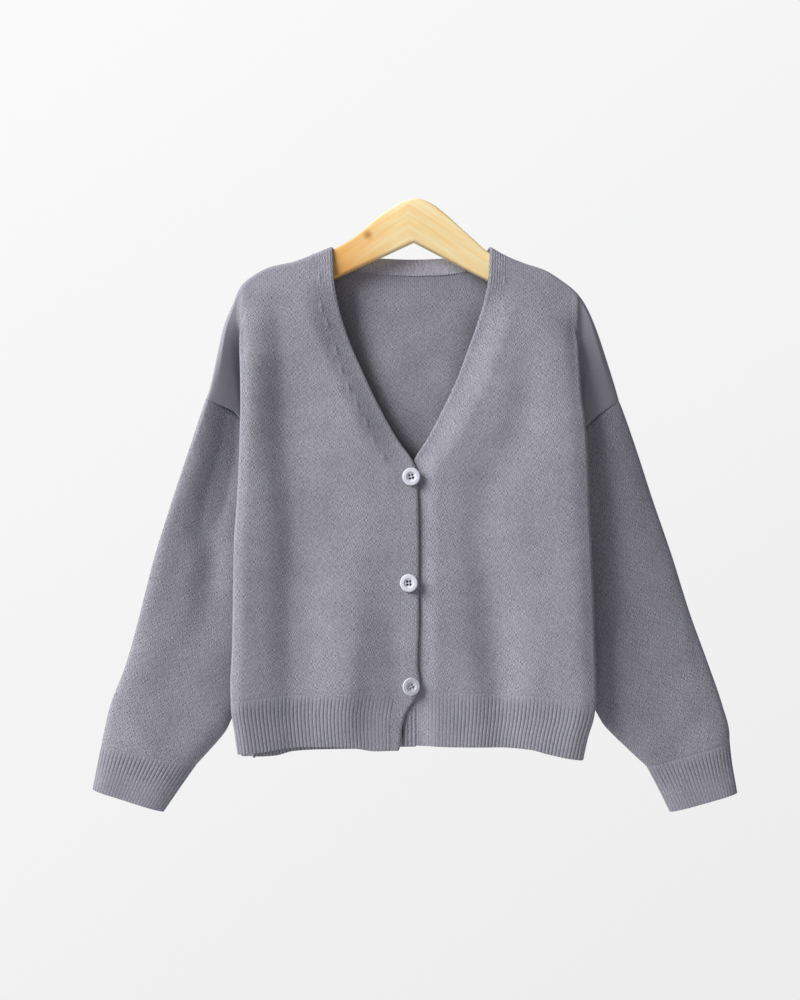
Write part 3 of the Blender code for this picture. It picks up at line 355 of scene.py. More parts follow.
# Slight waves that no cloth is without. Columns: length, direction in radians, height.
WAVES = ((93, 0.3, 0.30), (61, 1.9, 0.26), (47, 1.1, 0.20), (34, 2.7, 0.14))
# Seam under the neckband behind the neck. Columns: out, cloth between the top of the drape and the seam.
NECK_SEAM = {
    RIGHT: ((0, 34.2), (27, 33), (54, 29.8), (76, 24), (90, 16.5), (96, 11.5), (99.5, 7), (103.5, 0)),
    LEFT: ((0, 34.2), (27, 33), (48, 30), (66, 24), (76.5, 16.5), (81.5, 11.5), (85, 7), (88.5, 0)),
}


def mix(a, b, t):
    return a + (b - a) * t


def ease(t):
    t = np.clip(t, 0.0, 1.0)
    return t * t * (3 - 2 * t)


def step(at, start, end):
    """Soft step from 0 at 'start' to 1 at 'end'."""
    return ease((at - start) / (end - start))


def drape(length):
    """Cloth that turns over the board, 'length' from the board's middle: how far out in Y, how far down."""
    turn = np.clip((length - BOARD_FLAT) / DRAPE_ROUND, 0, math.pi / 2)
    down = np.maximum(length - BOARD_FLAT - DRAPE_ARC, 0)
    return np.minimum(length, BOARD_FLAT) + DRAPE_ROUND * np.sin(turn), DRAPE_ROUND * (1 - np.cos(turn)) + down


def soft_folds(side, face, out, height):
    """How far the soft folds take the body's face back at a place."""
    total = uneven(side * out, height, face)
    for line in BODY_FOLDS[side, face]:
        middle, outer_width, inner_width, depth = along(line, height)
        aside = (out - middle) / np.where(out > middle, outer_width, inner_width)
        total = total + depth * np.exp(-(aside ** 2))
    fall, reach = EDGE_ROUND[side, face]
    inside = along(SIDE_FOLD[side], height) + EDGE_ROUND_OUT - out
    return total + fall * step(height, *EDGE_ROUND_HEIGHTS) * np.exp(-((inside / reach) ** 2))


def beside_body(side, out, height):
    """How strongly the cloth sinks into the hollow beside the body's side fold."""
    share, middle, reach = along(HOLLOW[side], height)
    return share * np.exp(-(((out - along(SIDE_FOLD[side], height) - middle) / reach) ** 2))


def lean(side, out, height):
    """How far a cap or sleeve lies back: its inner part behind the body's side fold, its outer edge forward."""
    behind, before, width = along(LEAN[side], height)
    return mix(behind, before, np.clip((out - along(SIDE_FOLD[side], height)) / width, 0, 1))


def uneven(x, height, seed):
    """Sum of the slight waves, other ones for each 'seed'."""
    total = 0.0
    for i, (length, turn, size) in enumerate(WAVES):
        run = x * math.cos(turn + seed) + height * math.sin(turn + seed)
        total = total + size * np.sin(run * 2 * math.pi / length + 2.3 * i + 1.7 * seed)
    return total


# Across a row, 'column' runs -1 band edge, 0 band seam or back's centre, 1 side fold begins, 2 fold ends, 3 tuck
# turns, 4 tuck has turned, 5 armhole or side seam. 'row' runs 0 shoulder, 1 underarm, 2 hem begins, 3 lower edge.
def shoulder_length(side, column):
    """Where a column meets the shoulder line, as a length along it."""
    folds = [FOLD_AT_SHOULDER + stop for stop in FOLD_STOPS[side]]
    return np.interp(column, range(-1, 6), [0, BAND_AT_SHOULDER[side], *folds, SHOULDER[side][-1][0]])


def top_line(side, face, column):
    """Where a column starts: out and height of the top line, and the cloth above the column's first row."""
    out, height = along(SHOULDER[side], shoulder_length(side, column))
    if face == FRONT:
        return out, height, 0 * out
    neck_out = column * along(SHOULDER[side], shoulder_length(side, 1))[0]
    neck_height = along([row[1:] for row in SHOULDER[side]], neck_out)
    inner = column < 1
    return (np.where(inner, neck_out, out), np.where(inner, neck_height, height),
            np.where(inner, along(NECK_SEAM[side], neck_out), 0))


def hem_lines(side, face, out):
    """Heights of the hem's upper and lower line."""
    lines = along(HEM[side], out)
    return (lines[0], lines[1]) if face == FRONT else (lines[2], lines[3])


def row_height(side, face, column, row):
    """Height of a knitted row, which falls towards the underarm, and the cloth between it and the top line."""
    top, start = top_line(side, face, column)[1:]
    at_arm = np.interp(column, (2, 3, 4, 5), UNDERARM_ROW)
    length = mix(start, top - at_arm + DRAPE_EXTRA, row)
    upper, lower = hem_lines(side, face, HEM_OUT * np.clip(column, 0, 1))
    upper = upper - np.interp(column, (2, 3), (0, HEM_FALL))
    below = np.where(row <= 2, mix(at_arm, upper, row - 1), mix(upper, lower, row - 2))
    height = np.where(row <= 1, top - drape(length)[1], below)
    return height, np.where(row <= 1, length, top - below + DRAPE_EXTRA)


def body_depth(side, face, column, height):
    """How far the body's face stands out in Y, before its soft folds."""
    drop = top_line(side, face, np.minimum(column, 1))[1] - height
    crown = mix(*CROWN[face], np.clip(column, 0, 1) ** CROWN_SIDEWAYS) * step(drop, *CROWN_DROPS)
    return along(HANG, np.maximum(drop, DRAPE_ROUND)) * (1 - crown)


def face_depth(side, face, column, out, height, length):
    """Depth of the flat of the body with its soft folds, and near the neck edges with their fall."""
    depth = np.where(length < BOARD_FLAT + DRAPE_ARC, drape(length)[0], body_depth(side, face, column, height))
    depth = depth - soft_folds(side, face, out, height) * step(length, *SOFT_LENGTHS)
    fall, dish = along(NECK_FALL, height)
    if face == FRONT:
        return depth - fall * (1 - ease((out - along(BAND_EDGE[side], height)) / NECK_FALL_REACH))
    return depth - dish * np.exp(-((out / DISH_WIDTH) ** 4))


def panel_edge(side, face, column, height):
    """Out, where a panel's row begins: at its band in front, at the centre line behind."""
    if face == BACK:
        return 0.0
    return along(BAND_EDGE[side], height) + along(BAND_WIDTH[side], height) * (1 + np.minimum(column, 0))


def panel_point(side, face, column, row):
    """The flat of the body, from its front edge or centre to the side fold."""
    height, length = row_height(side, face, column, row)
    share = np.maximum(column, 0)
    top_out, top_height, _ = top_line(side, face, column)
    fold_top = along(SHOULDER[side], shoulder_length(side, 1))[0]
    fold = mix(fold_top, along(SIDE_FOLD[side], height) - FOLD_BEND, step(length, *FORMED[side]))
    out = mix(panel_edge(side, face, column, height), fold, share)
    first = mix(panel_edge(side, face, column, top_height), fold_top, share)
    out = out + np.where(row < 1, (top_out - first) * (1 - np.minimum(row, 1)) ** 3, 0)
    depth = face_depth(side, face, column, out, height, length)
    if (side, face) == (LEFT, FRONT):
        depth = depth - LAP_STEP * step(height, *LAP_HEIGHTS) * step(out, *LAP_OUTS)
    return np.stack((side * out, face * depth, height), -1)


def side_curve(seam, reach, rim, column):
    """The quarter turn out of the tuck to the side seam, whose own depth is 'rim': out and depth."""
    quarter = (column - 3) * math.pi / 4
    return seam + reach * (1 - np.sin(quarter)), mix(rim, TUCK_FACE, np.cos(quarter))


def armhole_depth(share):
    """Half depth of the armhole at a share of its length from the shoulder to the underarm."""
    return CAP_FACE * np.sqrt(np.maximum(1 - np.abs(2 * np.minimum(share, 1) - 1) ** ARMHOLE_OVAL, 0))


def tuck_point(side, face, column, row, leaning=True):
    """The side fold, the tuck behind it and the shoulder cap that comes out of the tuck."""
    height, length = row_height(side, face, column, row)
    top_out, top_height, _ = top_line(side, face, column)
    arm_out, arm_height = along(ARMHOLE[side], row)
    seam = np.where(row >= 1, along(SIDE_SEAM[side], height), arm_out)
    made = step(length, *FORMED[side])          # how far the side fold has formed
    opened = step(row, TUCK_OPENS, 1)           # how far the tuck's turn has opened into the side seam's curve
    fold = along(SIDE_FOLD[side], height)
    tuck = along(TUCK, along(SHOULDER[side], FOLD_AT_SHOULDER)[1] - height)
    tuck_out = fold - tuck + TUCK_BEND
    turned_back = FOLD_BEND * np.clip((tuck - TURNED[0]) / (TURNED[1] - TURNED[0]), LEAST_TURN, 1)
    curve = seam, np.minimum(SIDE_CURVE, 0.5 * (fold - FOLD_BEND - seam)), armhole_depth(row)
    fold_top = along(SHOULDER[side], shoulder_length(side, 1))[0]
    fold_begins = mix(fold_top, fold - FOLD_BEND, made)
    flat_face = face_depth(side, face, 1, fold_begins, height, length)
    # The bend of the side fold, the tuck's hidden face, the tuck's turn, and the curve that it opens into.
    angle = (column - 1.5) * math.pi
    bent = (fold - np.where(column > 1.5, turned_back, FOLD_BEND) * (1 - np.cos(angle)),
            (flat_face + TUCK_FACE) / 2 - (flat_face - TUCK_FACE) / 2 * np.sin(angle))
    hidden = mix(fold - turned_back, mix(tuck_out, curve[0] + curve[1], opened), column - 2), TUCK_FACE + 0 * height
    curved = side_curve(*curve, column)
    angle = (column - 3) * math.pi
    turned = (mix(tuck_out - TUCK_BEND * np.sin(angle), curved[0], opened),
              mix((TUCK_FACE + CAP_FACE) / 2 + (TUCK_FACE - CAP_FACE) / 2 * np.cos(angle), curved[1], opened))
    out, depth = (np.select((column <= 2, column <= 3, (row < 1) & (column <= 4)), (a, b, c), d)
                  for a, b, c, d in zip(bent, hidden, turned, curved))
    # Near the shoulder line, where the fold hasn't formed yet, the cloth lies plainly over the board.
    past_fold = face_depth(side, face, 1, fold_begins + top_out - fold_top, height, length)
    plain = np.minimum(drape(length * mix(1, CAP_DRAPE, ease(column - 2)))[0],
                       mix(BOARD_FLAT + DRAPE_ROUND, CAP_FACE, CAP_PRESSED * ease(column - 2)))
    plain = mix(past_fold, plain, step(column, 1, 4))
    above = row < 1
    out, depth = np.where(above, mix(top_out, out, made), out), np.where(above, mix(plain, depth, made), depth)
    places = np.stack((side * out, face * depth, height), -1)
    # From the tuck to the armhole seam, the shoulder cap.
    if np.any(column > 4):
        inner = tuck_point(side, face, np.full_like(column, 4.0), row, leaning=False)
        line = [along(SHOULDER[side], shoulder_length(side, stop)) for stop in (4, 5)]
        share, bow = column - 4, (1 - row) ** 2
        straight = mix(side * inner[..., 0], seam, share) + (top_out - mix(line[0][0], line[1][0], share)) * bow
        cap_height = mix(inner[..., 2], arm_height, share) + (top_height - mix(line[0][1], line[1][1], share)) * bow
        flat = mix(face * inner[..., 1], curve[2], mix(ease(share), share, opened))
        chord = [mix(a, b, share) for a, b in zip(side_curve(*curve, 4), side_curve(*curve, 5))]
        cap_out = straight + opened * (curved[0] - chord[0])
        flat = flat + opened * (curved[1] - chord[1])
        pressed = flat * (1 - made * beside_body(side, cap_out, cap_height) * ease(2 * share))
        flat = np.maximum(pressed, np.minimum(flat, LEAST_DEPTH))
        flat = flat - face * SEAM_SINK * step(row, SEAM_ROW, 1) * step(share, 1, 0.8)
        cap = np.stack((side * cap_out, face * flat, cap_height), -1)
        places = np.where(((column > 4) & above)[..., None], cap, places)
    back = lean(side, side * places[..., 0], places[..., 2]) * ease(2 * column - 4) * leaning
    return places + back[..., None] * (0, 1, 0)


def body_point(side, face, column, row):
    """Points of the body's outer face."""
    column, row = np.broadcast_arrays(np.asarray(column, float), np.asarray(row, float))
    return np.where((column <= 1)[..., None], panel_point(side, face, column, row),
                    tuck_point(side, face, np.maximum(column, 1), row))


def back_point(column, row):
    """Points of the back, whose columns run negative on the wearer's right."""
    return np.where((np.asarray(column) < 0)[..., None], body_point(RIGHT, BACK, np.abs(column), row),
                    body_point(LEFT, BACK, np.abs(column), row))


def run_length(places, axis=1):
    """Length along each line of a net of points, from its first point."""
    steps = np.linalg.norm(np.diff(places, axis=axis), axis=-1)
    return np.concatenate((0 * np.take(steps, [0], axis), np.cumsum(steps, axis)), axis)


def outwards(places):
    """Outward direction at each point of a net."""
    normal = np.cross(np.gradient(places, axis=1), np.gradient(places, axis=0))
    normal /= np.maximum(np.linalg.norm(normal, axis=-1, keepdims=True), 1e-9)
    return normal if np.sum(normal[..., 1] * places[..., 1]) > 0 else -normal


RIM_ROUND, RIM_ANGLE = 0.7, 52      # rounding of the cloth's edges, and the least angle of what counts as an edge
MERGED = 0.02           # points of a net that lie closer than this become one


def knitted(name, places, stitches, materials, opened=None):
    """A knitted piece: a net of points is its outer face and the cloth's thickness lies behind it.

    'stitches' counts the stitches across and down at each point, for the pattern, and 'opened' says how strongly its
    wales or ribs show there: how dark the furrows between them are painted, as painted shade, with the wale ridges
    painted lighter, as painted highlight."""
    rows, columns = places.shape[:2]
    net = bmesh.new()
    bmesh.ops.create_grid(net, x_segments=columns - 1, y_segments=rows - 1, size=0.5)
    counted = net.loops.layers.uv.new("stitches")
    furrow_shade_layer = net.verts.layers.float.new("furrow_shade")
    spot = [(round((v.co.y + 0.5) * (rows - 1)), round((v.co.x + 0.5) * (columns - 1))) for v in net.verts]
    net.verts.index_update()
    for face in net.faces:
        for loop in face.loops:
            loop[counted].uv = stitches[spot[loop.vert.index]]
    for vert in net.verts:
        vert.co = places[spot[vert.index]] * MM
        vert[furrow_shade_layer] = 0.0 if opened is None else opened[spot[vert.index]]
    bmesh.ops.remove_doubles(net, verts=net.verts, dist=MERGED * MM)
    net.normal_update()
    if sum(f.normal.y * f.calc_center_median().y * f.calc_area() for f in net.faces) < 0:
        bmesh.ops.reverse_faces(net, faces=net.faces)
    piece = place_in_scene(name, net, materials)
    wall = piece.modifiers.new("cloth", "SOLIDIFY")
    wall.thickness, wall.offset, wall.material_offset = CLOTH * MM, -1, len(materials) - 1
    rim = piece.modifiers.new("soft_rim", "BEVEL")
    rim.width, rim.segments = RIM_ROUND * MM, 2
    rim.limit_method, rim.angle_limit = "ANGLE", math.radians(RIM_ANGLE)
    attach(piece, "root")
    return piece


CAP_SLANT = (0.766, 0.643)          # cosine and sine of the slant of the caps' wales, 40 degrees
# The wales show as painted shade in their furrows and painted highlight on their ridges.
CAP_PAINTED_WALES, TOP_PAINTED_WALES = 0.85, 0.3      # how far the wales show on the caps, and over the board
TOP_ROWS = 0.16                     # rows over which they close below the board


def body_stitches(side, face, places, column, row):
    """Stitches across and down the body: wales upright on the flat, and slanting on the cap behind the tuck."""
    out, height = side * places[..., 0], places[..., 2]
    panel = column <= 1
    last = np.argmin(np.where(panel, 1 - column, np.inf), axis=1)
    at_fold = np.take_along_axis(out, last[:, None], 1)
    walked = run_length(places)
    walked = np.abs(walked - np.take_along_axis(walked, last[:, None], 1))
    across = np.where(panel, out, at_fold + walked)
    down = row_height(side, face, column, row)[1] - top_line(side, face, column)[1]
    cap, (cosine, sine) = column > 3.5, CAP_SLANT
    across = np.where(cap, cosine * out - sine * height, across) / WALE
    down = np.where(cap, -sine * out - cosine * height, down) / COURSE
    return np.stack((across, down), -1)


def painted_wale_shade(column, row):
    """Where the body's wales are painted in, as painted shade and highlight: on the caps, and a little over the
    board.
    """
    on_cap = step(np.abs(column), 3.2, 3.8) * step(row, 1.5, 0.5)
    return np.maximum(CAP_PAINTED_WALES * on_cap, TOP_PAINTED_WALES * step(row, TOP_ROWS, 0))


# Wool and cotton yarn in stocking stitch: columns of small V shapes, a soft matt grey-violet whose fibres catch a
# little light at the folds, each loop a shade lighter or darker than the next. The low parts of each stitch are
# painted darker, as painted shade in the hollows between its loops, and where the cloth's attribute says so its wale
# furrows are painted dark and its ridges lighter, as painted shade and highlight.
LEG_ROUND = 2.55        # how round a leg of a stitch is, in radians of a sine from its furrow to its ridge
LEG_SLANT = 0.6         # how many courses a leg rises on its way across half a wale
LOOP_FULL = 0.35        # power of the height along a leg: the lower, the fuller the loops
PALER, DARKER = 0.40, -0.36         # most and least difference in shade between two legs of a stitch
LOOSE = (0.82, 1.18)    # least and most shade of a single strand


def stitch_height(material, legs):
    """Sockets of the stitch pattern, which has 'legs' strands in one count across: height of the yarn, height across
    each wale, shade of each strand, and the count across."""
    counts = node(material, "UVMap", uv_map="stitches")
    across, down, _ = node(material, "SeparateXYZ", {0: counts}).node.outputs
    leg = node(material, "Math", {0: across, 1: 0.5}, operation="PINGPONG")
    leg = node(material, "Math", {0: leg, 1: 2.0}, operation="MULTIPLY")
    strand = node(material, "Math", {0: leg, 1: LEG_ROUND}, operation="MULTIPLY")
    strand = node(material, "Math", {0: strand}, operation="SINE")
    slanted = node(material, "Math", {0: leg, 1: LEG_SLANT, 2: down}, operation="MULTIPLY_ADD")
    loop = slanted
    for operation, value in (("PINGPONG", 0.5), ("MULTIPLY", 2.0), ("POWER", LOOP_FULL)):
        loop = node(material, "Math", {0: loop, 1: value}, operation=operation)
    height = node(material, "Math", {0: strand, 1: loop}, operation="MULTIPLY")
    strands = node(material, "Math", {0: across, 1: legs}, operation="MULTIPLY")
    strands = node(material, "Math", {0: strands}, operation="FLOOR")
    rounds = node(material, "Math", {0: slanted}, operation="FLOOR")
    pairs = [node(material, "Math", {0: node(material, "Math", {0: count, 1: 0.5}, operation="MULTIPLY")},
                  operation="FLOOR") for count in (strands, rounds)]
    pair, single = (node(material, "TexWhiteNoise", {"Vector": node(material, "CombineXYZ", {0: right, 1: below})},
                         noise_dimensions="2D") for right, below in (pairs, (strands, rounds)))
    odd = node(material, "Math", {0: node(material, "Math", {0: strands, 1: rounds}), 1: 1.0}, operation="PINGPONG")
    odd = node(material, "MapRange", {0: odd, 3: -1.0, 4: 1.0})
    amount = node(material, "MapRange", {0: pair, 3: DARKER, 4: PALER})
    loose = node(material, "MapRange", {0: single, 3: LOOSE[0], 4: LOOSE[1]})
    shade = node(material, "Math", {0: odd, 1: amount, 2: loose}, operation="MULTIPLY_ADD")
    return height, strand, shade, across


def yarn(name, furrows=False, light=1.0):
    """Knitted yarn. Where the piece's attribute for painted furrow shade is high, the furrows between two wales are
    painted dark, as painted shade, and their ridges lighter, as painted highlight, or with 'furrows' those between
    two ribs are painted dark, at the whole counts across. 'light' scales the whole shade."""
    made = new_material(name)
    height, strand, shade, across = stitch_height(made, 8.0 if furrows else 2.0)
    place = node(made, "TexCoord", out="Object")
    # Painted shade: the low parts of the stitch relief get the darker colour.
    painted_relief_tone = node(made, "ValToRGB", {0: height}, stops=((0.05, linear("#878690")), (0.75, linear("#96959F"))))
    cloudy = node(made, "TexNoise", {"Vector": place, "Scale": 42.0, "Detail": 3.0, "Roughness": 0.6})
    cloudy = node(made, "MapRange", {0: cloudy, 1: 0.3, 2: 0.7, 3: 0.96, 4: 1.04})
    # Painted shade in the furrows and, without 'furrows', painted highlight on the wale ridges.
    if furrows:
        ridge = node(made, "Math", {0: across, 1: 0.5}, operation="PINGPONG")
        ridge = node(made, "MapRange", {0: ridge, 1: 0.03, 2: 0.18, 3: 0.68, 4: 0.97},
                     interpolation_type="SMOOTHSTEP")
        opened = node(made, "Math", {0: shade, 1: ridge}, operation="MULTIPLY")
    else:
        opened = node(made, "MapRange", {0: strand, 1: 0.0, 2: 1.0, 3: 0.05, 4: 1.42})
    clear = node(made, "Attribute", out="Fac", attribute_name="furrow_shade")
    value = node(made, "MixRGB", {0: clear, 1: shade, 2: opened})
    for factor in (cloudy, light):
        value = node(made, "Math", {0: value, 1: factor}, operation="MULTIPLY")
    painted_relief_tone = node(made, "VectorMath", {0: painted_relief_tone, "Scale": value}, operation="SCALE")
    raised = node(made, "Bump", {"Strength": 0.25, "Distance": 0.0003, "Height": height})
    fuzzy = node(made, "BsdfPrincipled", {"Base Color": painted_relief_tone, "Roughness": 0.95, "Specular IOR Level": 0.12,
                                          "Sheen Weight": 0.25, "Sheen Roughness": 0.45,
                                          "Sheen Tint": linear("#E2E4F0"), "Normal": raised})
    node(made, "OutputMaterial", {"Surface": fuzzy})
    return made


stocking_stitch = yarn("stocking_stitch_yarn")
wrong_side = yarn("purl_side_yarn", light=0.95)
rib_stitch = yarn("rib_stitch_yarn", furrows=True)
# Painted light: the inner faces of the neckband and the back hem are painted paler, to lift the board's shadow on the
# neckband and to stand in for light bounced into the back hem.
painted_light_inside_yarn = yarn("inside_yarn_painted_light", light=1.45)      # paler inside of the neckband and the back hem


def spaced(first, *parts):
    """Values from 'first' on. Each part is the value it runs to and the number of even steps."""
    values = [first]
    for last, steps in parts:
        values.extend(np.linspace(values[-1], last, steps + 1)[1:])
    return np.array(values)


BODY_ROWS = spaced(0, (0.07, 9), (SEAM_ROW, 75), (1, 4), (2, 79))
TUCK_COLUMNS = ((2, 10), (3, 5), (4, 8), (5, 18))       # on from column 1, over the side fold, the tuck and the cap
columns = spaced(0, (1, 69), *TUCK_COLUMNS)
columns = np.concatenate((-columns[:0:-1], columns))
column, row = np.meshgrid(columns, BODY_ROWS)
places = back_point(column, row)
counts = []
for side, keep in ((RIGHT, columns < 0), (LEFT, columns >= 0)):
    counts.append(body_stitches(side, BACK, places[:, keep], column[:, keep] * side, row[:, keep]))
counts[0][..., 0] *= -1
back_panel = knitted("back_panel", places, np.concatenate(counts, 1), [stocking_stitch, wrong_side],
                     painted_wale_shade(column, row))
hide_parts("back")

# ---- back hem --------------------------------------------------------------------------
# A one-by-one rib knitted on below the back panel: upright ridges with a deep narrow furrow between each two, which
# draw the lower edge in a little.
RIB_PITCH = 3.65
RIB_RELIEF = 0.6
RIB_FULL, RIB_MEAN = 0.6, 0.70      # power of a rib's round, and the part of it that lies below the cloth's face
RIB_BEGINS = 0.16                   # rows over which the ribs rise, below the hem's upper line
BACK_LOSS = 0.6                     # share of their depth that the back's ribs lose at their lower end
CELLS_A_RIB = 8
HEM_ROWS = np.linspace(2, 3, 24)


def rib_columns(point, start, end, row, pitch):
    """Columns for whole ribs, measured along a row from column start to column end."""
    dense = np.linspace(start, end, 1500)
    length = run_length(point(dense[None], np.full((1, 1500), row)))[0]
    count = CELLS_A_RIB * round(length[-1] / pitch) + 1
    return np.interp(np.linspace(0, length[-1], count), length, dense)


def ribbed(places, ribs, strength):
    """Raise the ridges of a rib and sink its furrows, which lie at the whole counts."""
    profile = np.abs(np.sin(math.pi * ribs)) ** RIB_FULL - RIB_MEAN
    return places + outwards(places) * (RIB_RELIEF * profile * strength)[..., None]


def hem_net(point, start, end):
    """Columns, rows and counted ribs of a hem's net."""
    columns = rib_columns(point, start, end, 2.5, RIB_PITCH)
    column, row = np.meshgrid(columns, HEM_ROWS)
    return column, row, np.broadcast_to(np.arange(len(columns)) / CELLS_A_RIB, column.shape)


def level_stitches(across, places):
    """Stitch counts of a net whose courses lie level."""
    return np.stack((across, -places[..., 2] / COURSE), -1)


column, row, ribs = hem_net(back_point, -5, 5)
relief = step(row, 2, 2 + RIB_BEGINS) * (1 - BACK_LOSS * step(row, 2.75, 2.95))
places = ribbed(back_point(column, row), ribs, relief)
# Its inside, which shows below the fronts' hems, is painted paler, as painted light.
back_hem = knitted("back_hem", places, level_stitches(ribs, places), [rib_stitch, painted_light_inside_yarn], relief)
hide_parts("hem_back")

# ---- fronts ----------------------------------------------------------------------------
# Two front panels like the back, each with a front band and a ribbed hem. The wearer's right front laps over the
# left one, and both bands are knitted with fine upright ribs that show near the neck and ease out below.
BAND_RIB, BAND_RELIEF = 2.85, 0.14
BAND_HEIGHTS = (-120, -60)          # heights over which the bands' fine ribs come up
# The lower end of the under band is ribbed like the hem: pitch, relief, heights and width of that.
UNDER_RIB, UNDER_RELIEF = 4.0, 0.4
UNDER_HEIGHTS, UNDER_WIDTH = (-495, -507), 13
ROLL_WIDTH, ROLL_FALL = 3.0, 0.9    # a band rolls back over this width at its free edge, and by so much
# The front hems' ribs lose a share of their depth beside the bands, over a width, and a little every few ribs.
RIB_EASED, EASED_WIDTH = 0.45, 62
WAVE_LOSS, WAVE_RIBS = 0.2, 0.37
# Narrowing stitches beside the neck edge, slightly raised. Columns: X, height, length, slope.
NARROWINGS = {
    RIGHT: ((-96.5, -80, 5, 0.1), (-94.5, -110, 7, 0.1), (-88.5, -126, 7, 0.2), (-80, -152, 8, 0.2),
            (-74.5, -172, 9, 0.15), (-67.5, -189, 8, 0.25), (-59, -207, 9, 0.2), (-49.5, -225, 8, 0.3),
            (-43, -241, 7, 0.2), (-32.5, -258, 9, 0.3)),
    LEFT: ((88, -84, 4, -0.1), (86, -112, 5, -0.1), (79, -133, 5, -0.2), (70, -156, 5, -0.2), (62, -178, 5, -0.2),
           (52, -200, 5, -0.3), (43, -221, 5, -0.2), (33, -242, 5, -0.3)),
}
NARROWING_RISE = {RIGHT: 0.9, LEFT: 0.55}
NARROWING_REACH = 0.45  # half of the raised length, as a share of the length
NARROWING_WIDTH = 1.5   # half of the raised width


def narrowed(places, side):
    """Raise the narrowing stitches out of a net of points of a front."""
    rise = 0.0
    for x, z, length, slope in NARROWINGS[side]:
        down = z - places[..., 2]
        sideways = places[..., 0] - x - slope / 2 * down
        rise = rise + np.exp(-((down / (NARROWING_REACH * length)) ** 2) - (sideways / NARROWING_WIDTH) ** 2)
    return places + outwards(places) * (NARROWING_RISE[side] * rise)[..., None]


for side, word in SIDES:
    front_point = functools.partial(body_point, side, FRONT)
    columns = spaced(0, (0.06, 8), (1, 60), *TUCK_COLUMNS)
    column, row = np.meshgrid(columns, BODY_ROWS)
    places = narrowed(front_point(column, row), side)
    panel = knitted("front_panel_" + word, places, body_stitches(side, FRONT, places, column, row),
                    [stocking_stitch, wrong_side], painted_wale_shade(column, row))
    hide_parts("front_" + word)

    columns = np.linspace(-1, 0, 43)
    column, row = np.meshgrid(columns, np.concatenate((BODY_ROWS, HEM_ROWS[1:])))
    places = narrowed(front_point(column, row), side)
    across = run_length(places)
    fine = BAND_RELIEF * np.cos(2 * math.pi * across / BAND_RIB) * step(places[..., 2], *BAND_HEIGHTS)
    if side == LEFT:
        rib = UNDER_RELIEF * np.cos(2 * math.pi * across / UNDER_RIB) * (across < UNDER_WIDTH)
        fine = fine - rib * step(places[..., 2], *UNDER_HEIGHTS)
    roll = ROLL_FALL * (1 - np.minimum(across, ROLL_WIDTH) / ROLL_WIDTH) ** 2
    places = places + outwards(places) * (fine - roll)[..., None]
    band = knitted("front_band_" + word, places, level_stitches(across / WALE, places), [stocking_stitch, wrong_side])
    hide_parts("band_" + word)

    column, row, ribs = hem_net(front_point, 0, 5)
    soft = 1 - RIB_EASED * step(ribs * RIB_PITCH, EASED_WIDTH, 0) - WAVE_LOSS * np.sin(ribs * WAVE_RIBS) ** 2
    # Each rib is a little deeper or flatter than the next, changes on its way down and begins at its own height.
    soft = soft * (0.88 + 0.12 * np.sin(2.4 * np.floor(ribs) + 9 * row))
    relief = soft * ease((row - 2) / (0.20 + 0.07 * np.sin(5.1 * np.floor(ribs))))
    places = ribbed(front_point(column, row), ribs, relief)
    hem = knitted("front_hem_" + word, places, level_stitches(ribs, places), [rib_stitch, wrong_side], relief)
    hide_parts("hem_front_" + word)

# ---- sleeves ---------------------------------------------------------------------------
# Each sleeve is one tapered knitted tube, linked to the armhole and drawn in to a ribbed cuff. Empty, it hangs
# nearly flat.
CUFF_PITCH = 3.4
CUFF_RIBS_HELD = 0.3    # share of their depth that the ribs keep in the middle of the cuff, away from the sleeve
CUFF_EDGE_RIBS = 2.6    # how many ribs beside the cuff's edges keep more
SLEEVE_SLANT = (0.954, 0.300)       # cosine and sine of the slant of a sleeve's wales, 17.5 degrees
SLEEVE_OVAL = 4         # power of the flattened oval in which a sleeve lies
# Shares of a sleeve's length.
SEAM_SHARE = 0.012      # as far as this the linked seam draws it in
ARMHOLE_SHARE = 0.35    # here it has left the armhole's line
OVAL_SHARE = 0.4        # here it has come to its own oval
HOLLOW_SHARES = (0.75, 0.35)        # the hollow beside the body comes up between these
EDGE_TURN = 0.12        # share of the turn, beside each edge, over which the folds and the seam fade out
# Rings. Columns: share of length, outer edge out and height, inner edge out and height, half depth.
SLEEVE = {
    RIGHT: ((0, 208.5, -201, 138.5, -316, 7.2), (0.02, 209.8, -204.5, 140.6, -319, 7.2),
            (0.17, 226, -253, 146.5, -351, 7.2), (0.33, 243.5, -305, 154, -391, 7.3),
            (0.5, 260, -357, 161.5, -429, 7.5), (0.66, 274.5, -413, 169.5, -465, 7.8),
            (0.8, 289, -465, 177.5, -498, 8.2), (0.92, 305, -507, 189, -529, 9), (1, 313.5, -544, 219.5, -565, 9.2),
            (1.5, 322.8, -589, 251.9, -611.4, 8)),
    LEFT: ((0, 204, -202, 133.5, -316, 7.2), (0.02, 205.6, -205.5, 135.6, -319, 7.2),
           (0.17, 223, -253, 141.5, -351, 7.2), (0.33, 240.5, -305, 150, -391, 7.3),
           (0.5, 258.5, -357, 157.5, -429, 7.5), (0.66, 276, -413, 165.5, -465, 7.8),
           (0.8, 294.5, -465, 173.5, -498, 8.2), (0.92, 308.5, -507, 186, -524, 9),
           (0.98, 315.5, -536, 217.5, -556, 9.4), (1, 315.7, -545, 231.5, -569, 9),
           (1.5, 322.3, -595, 254.5, -614, 8)),
}
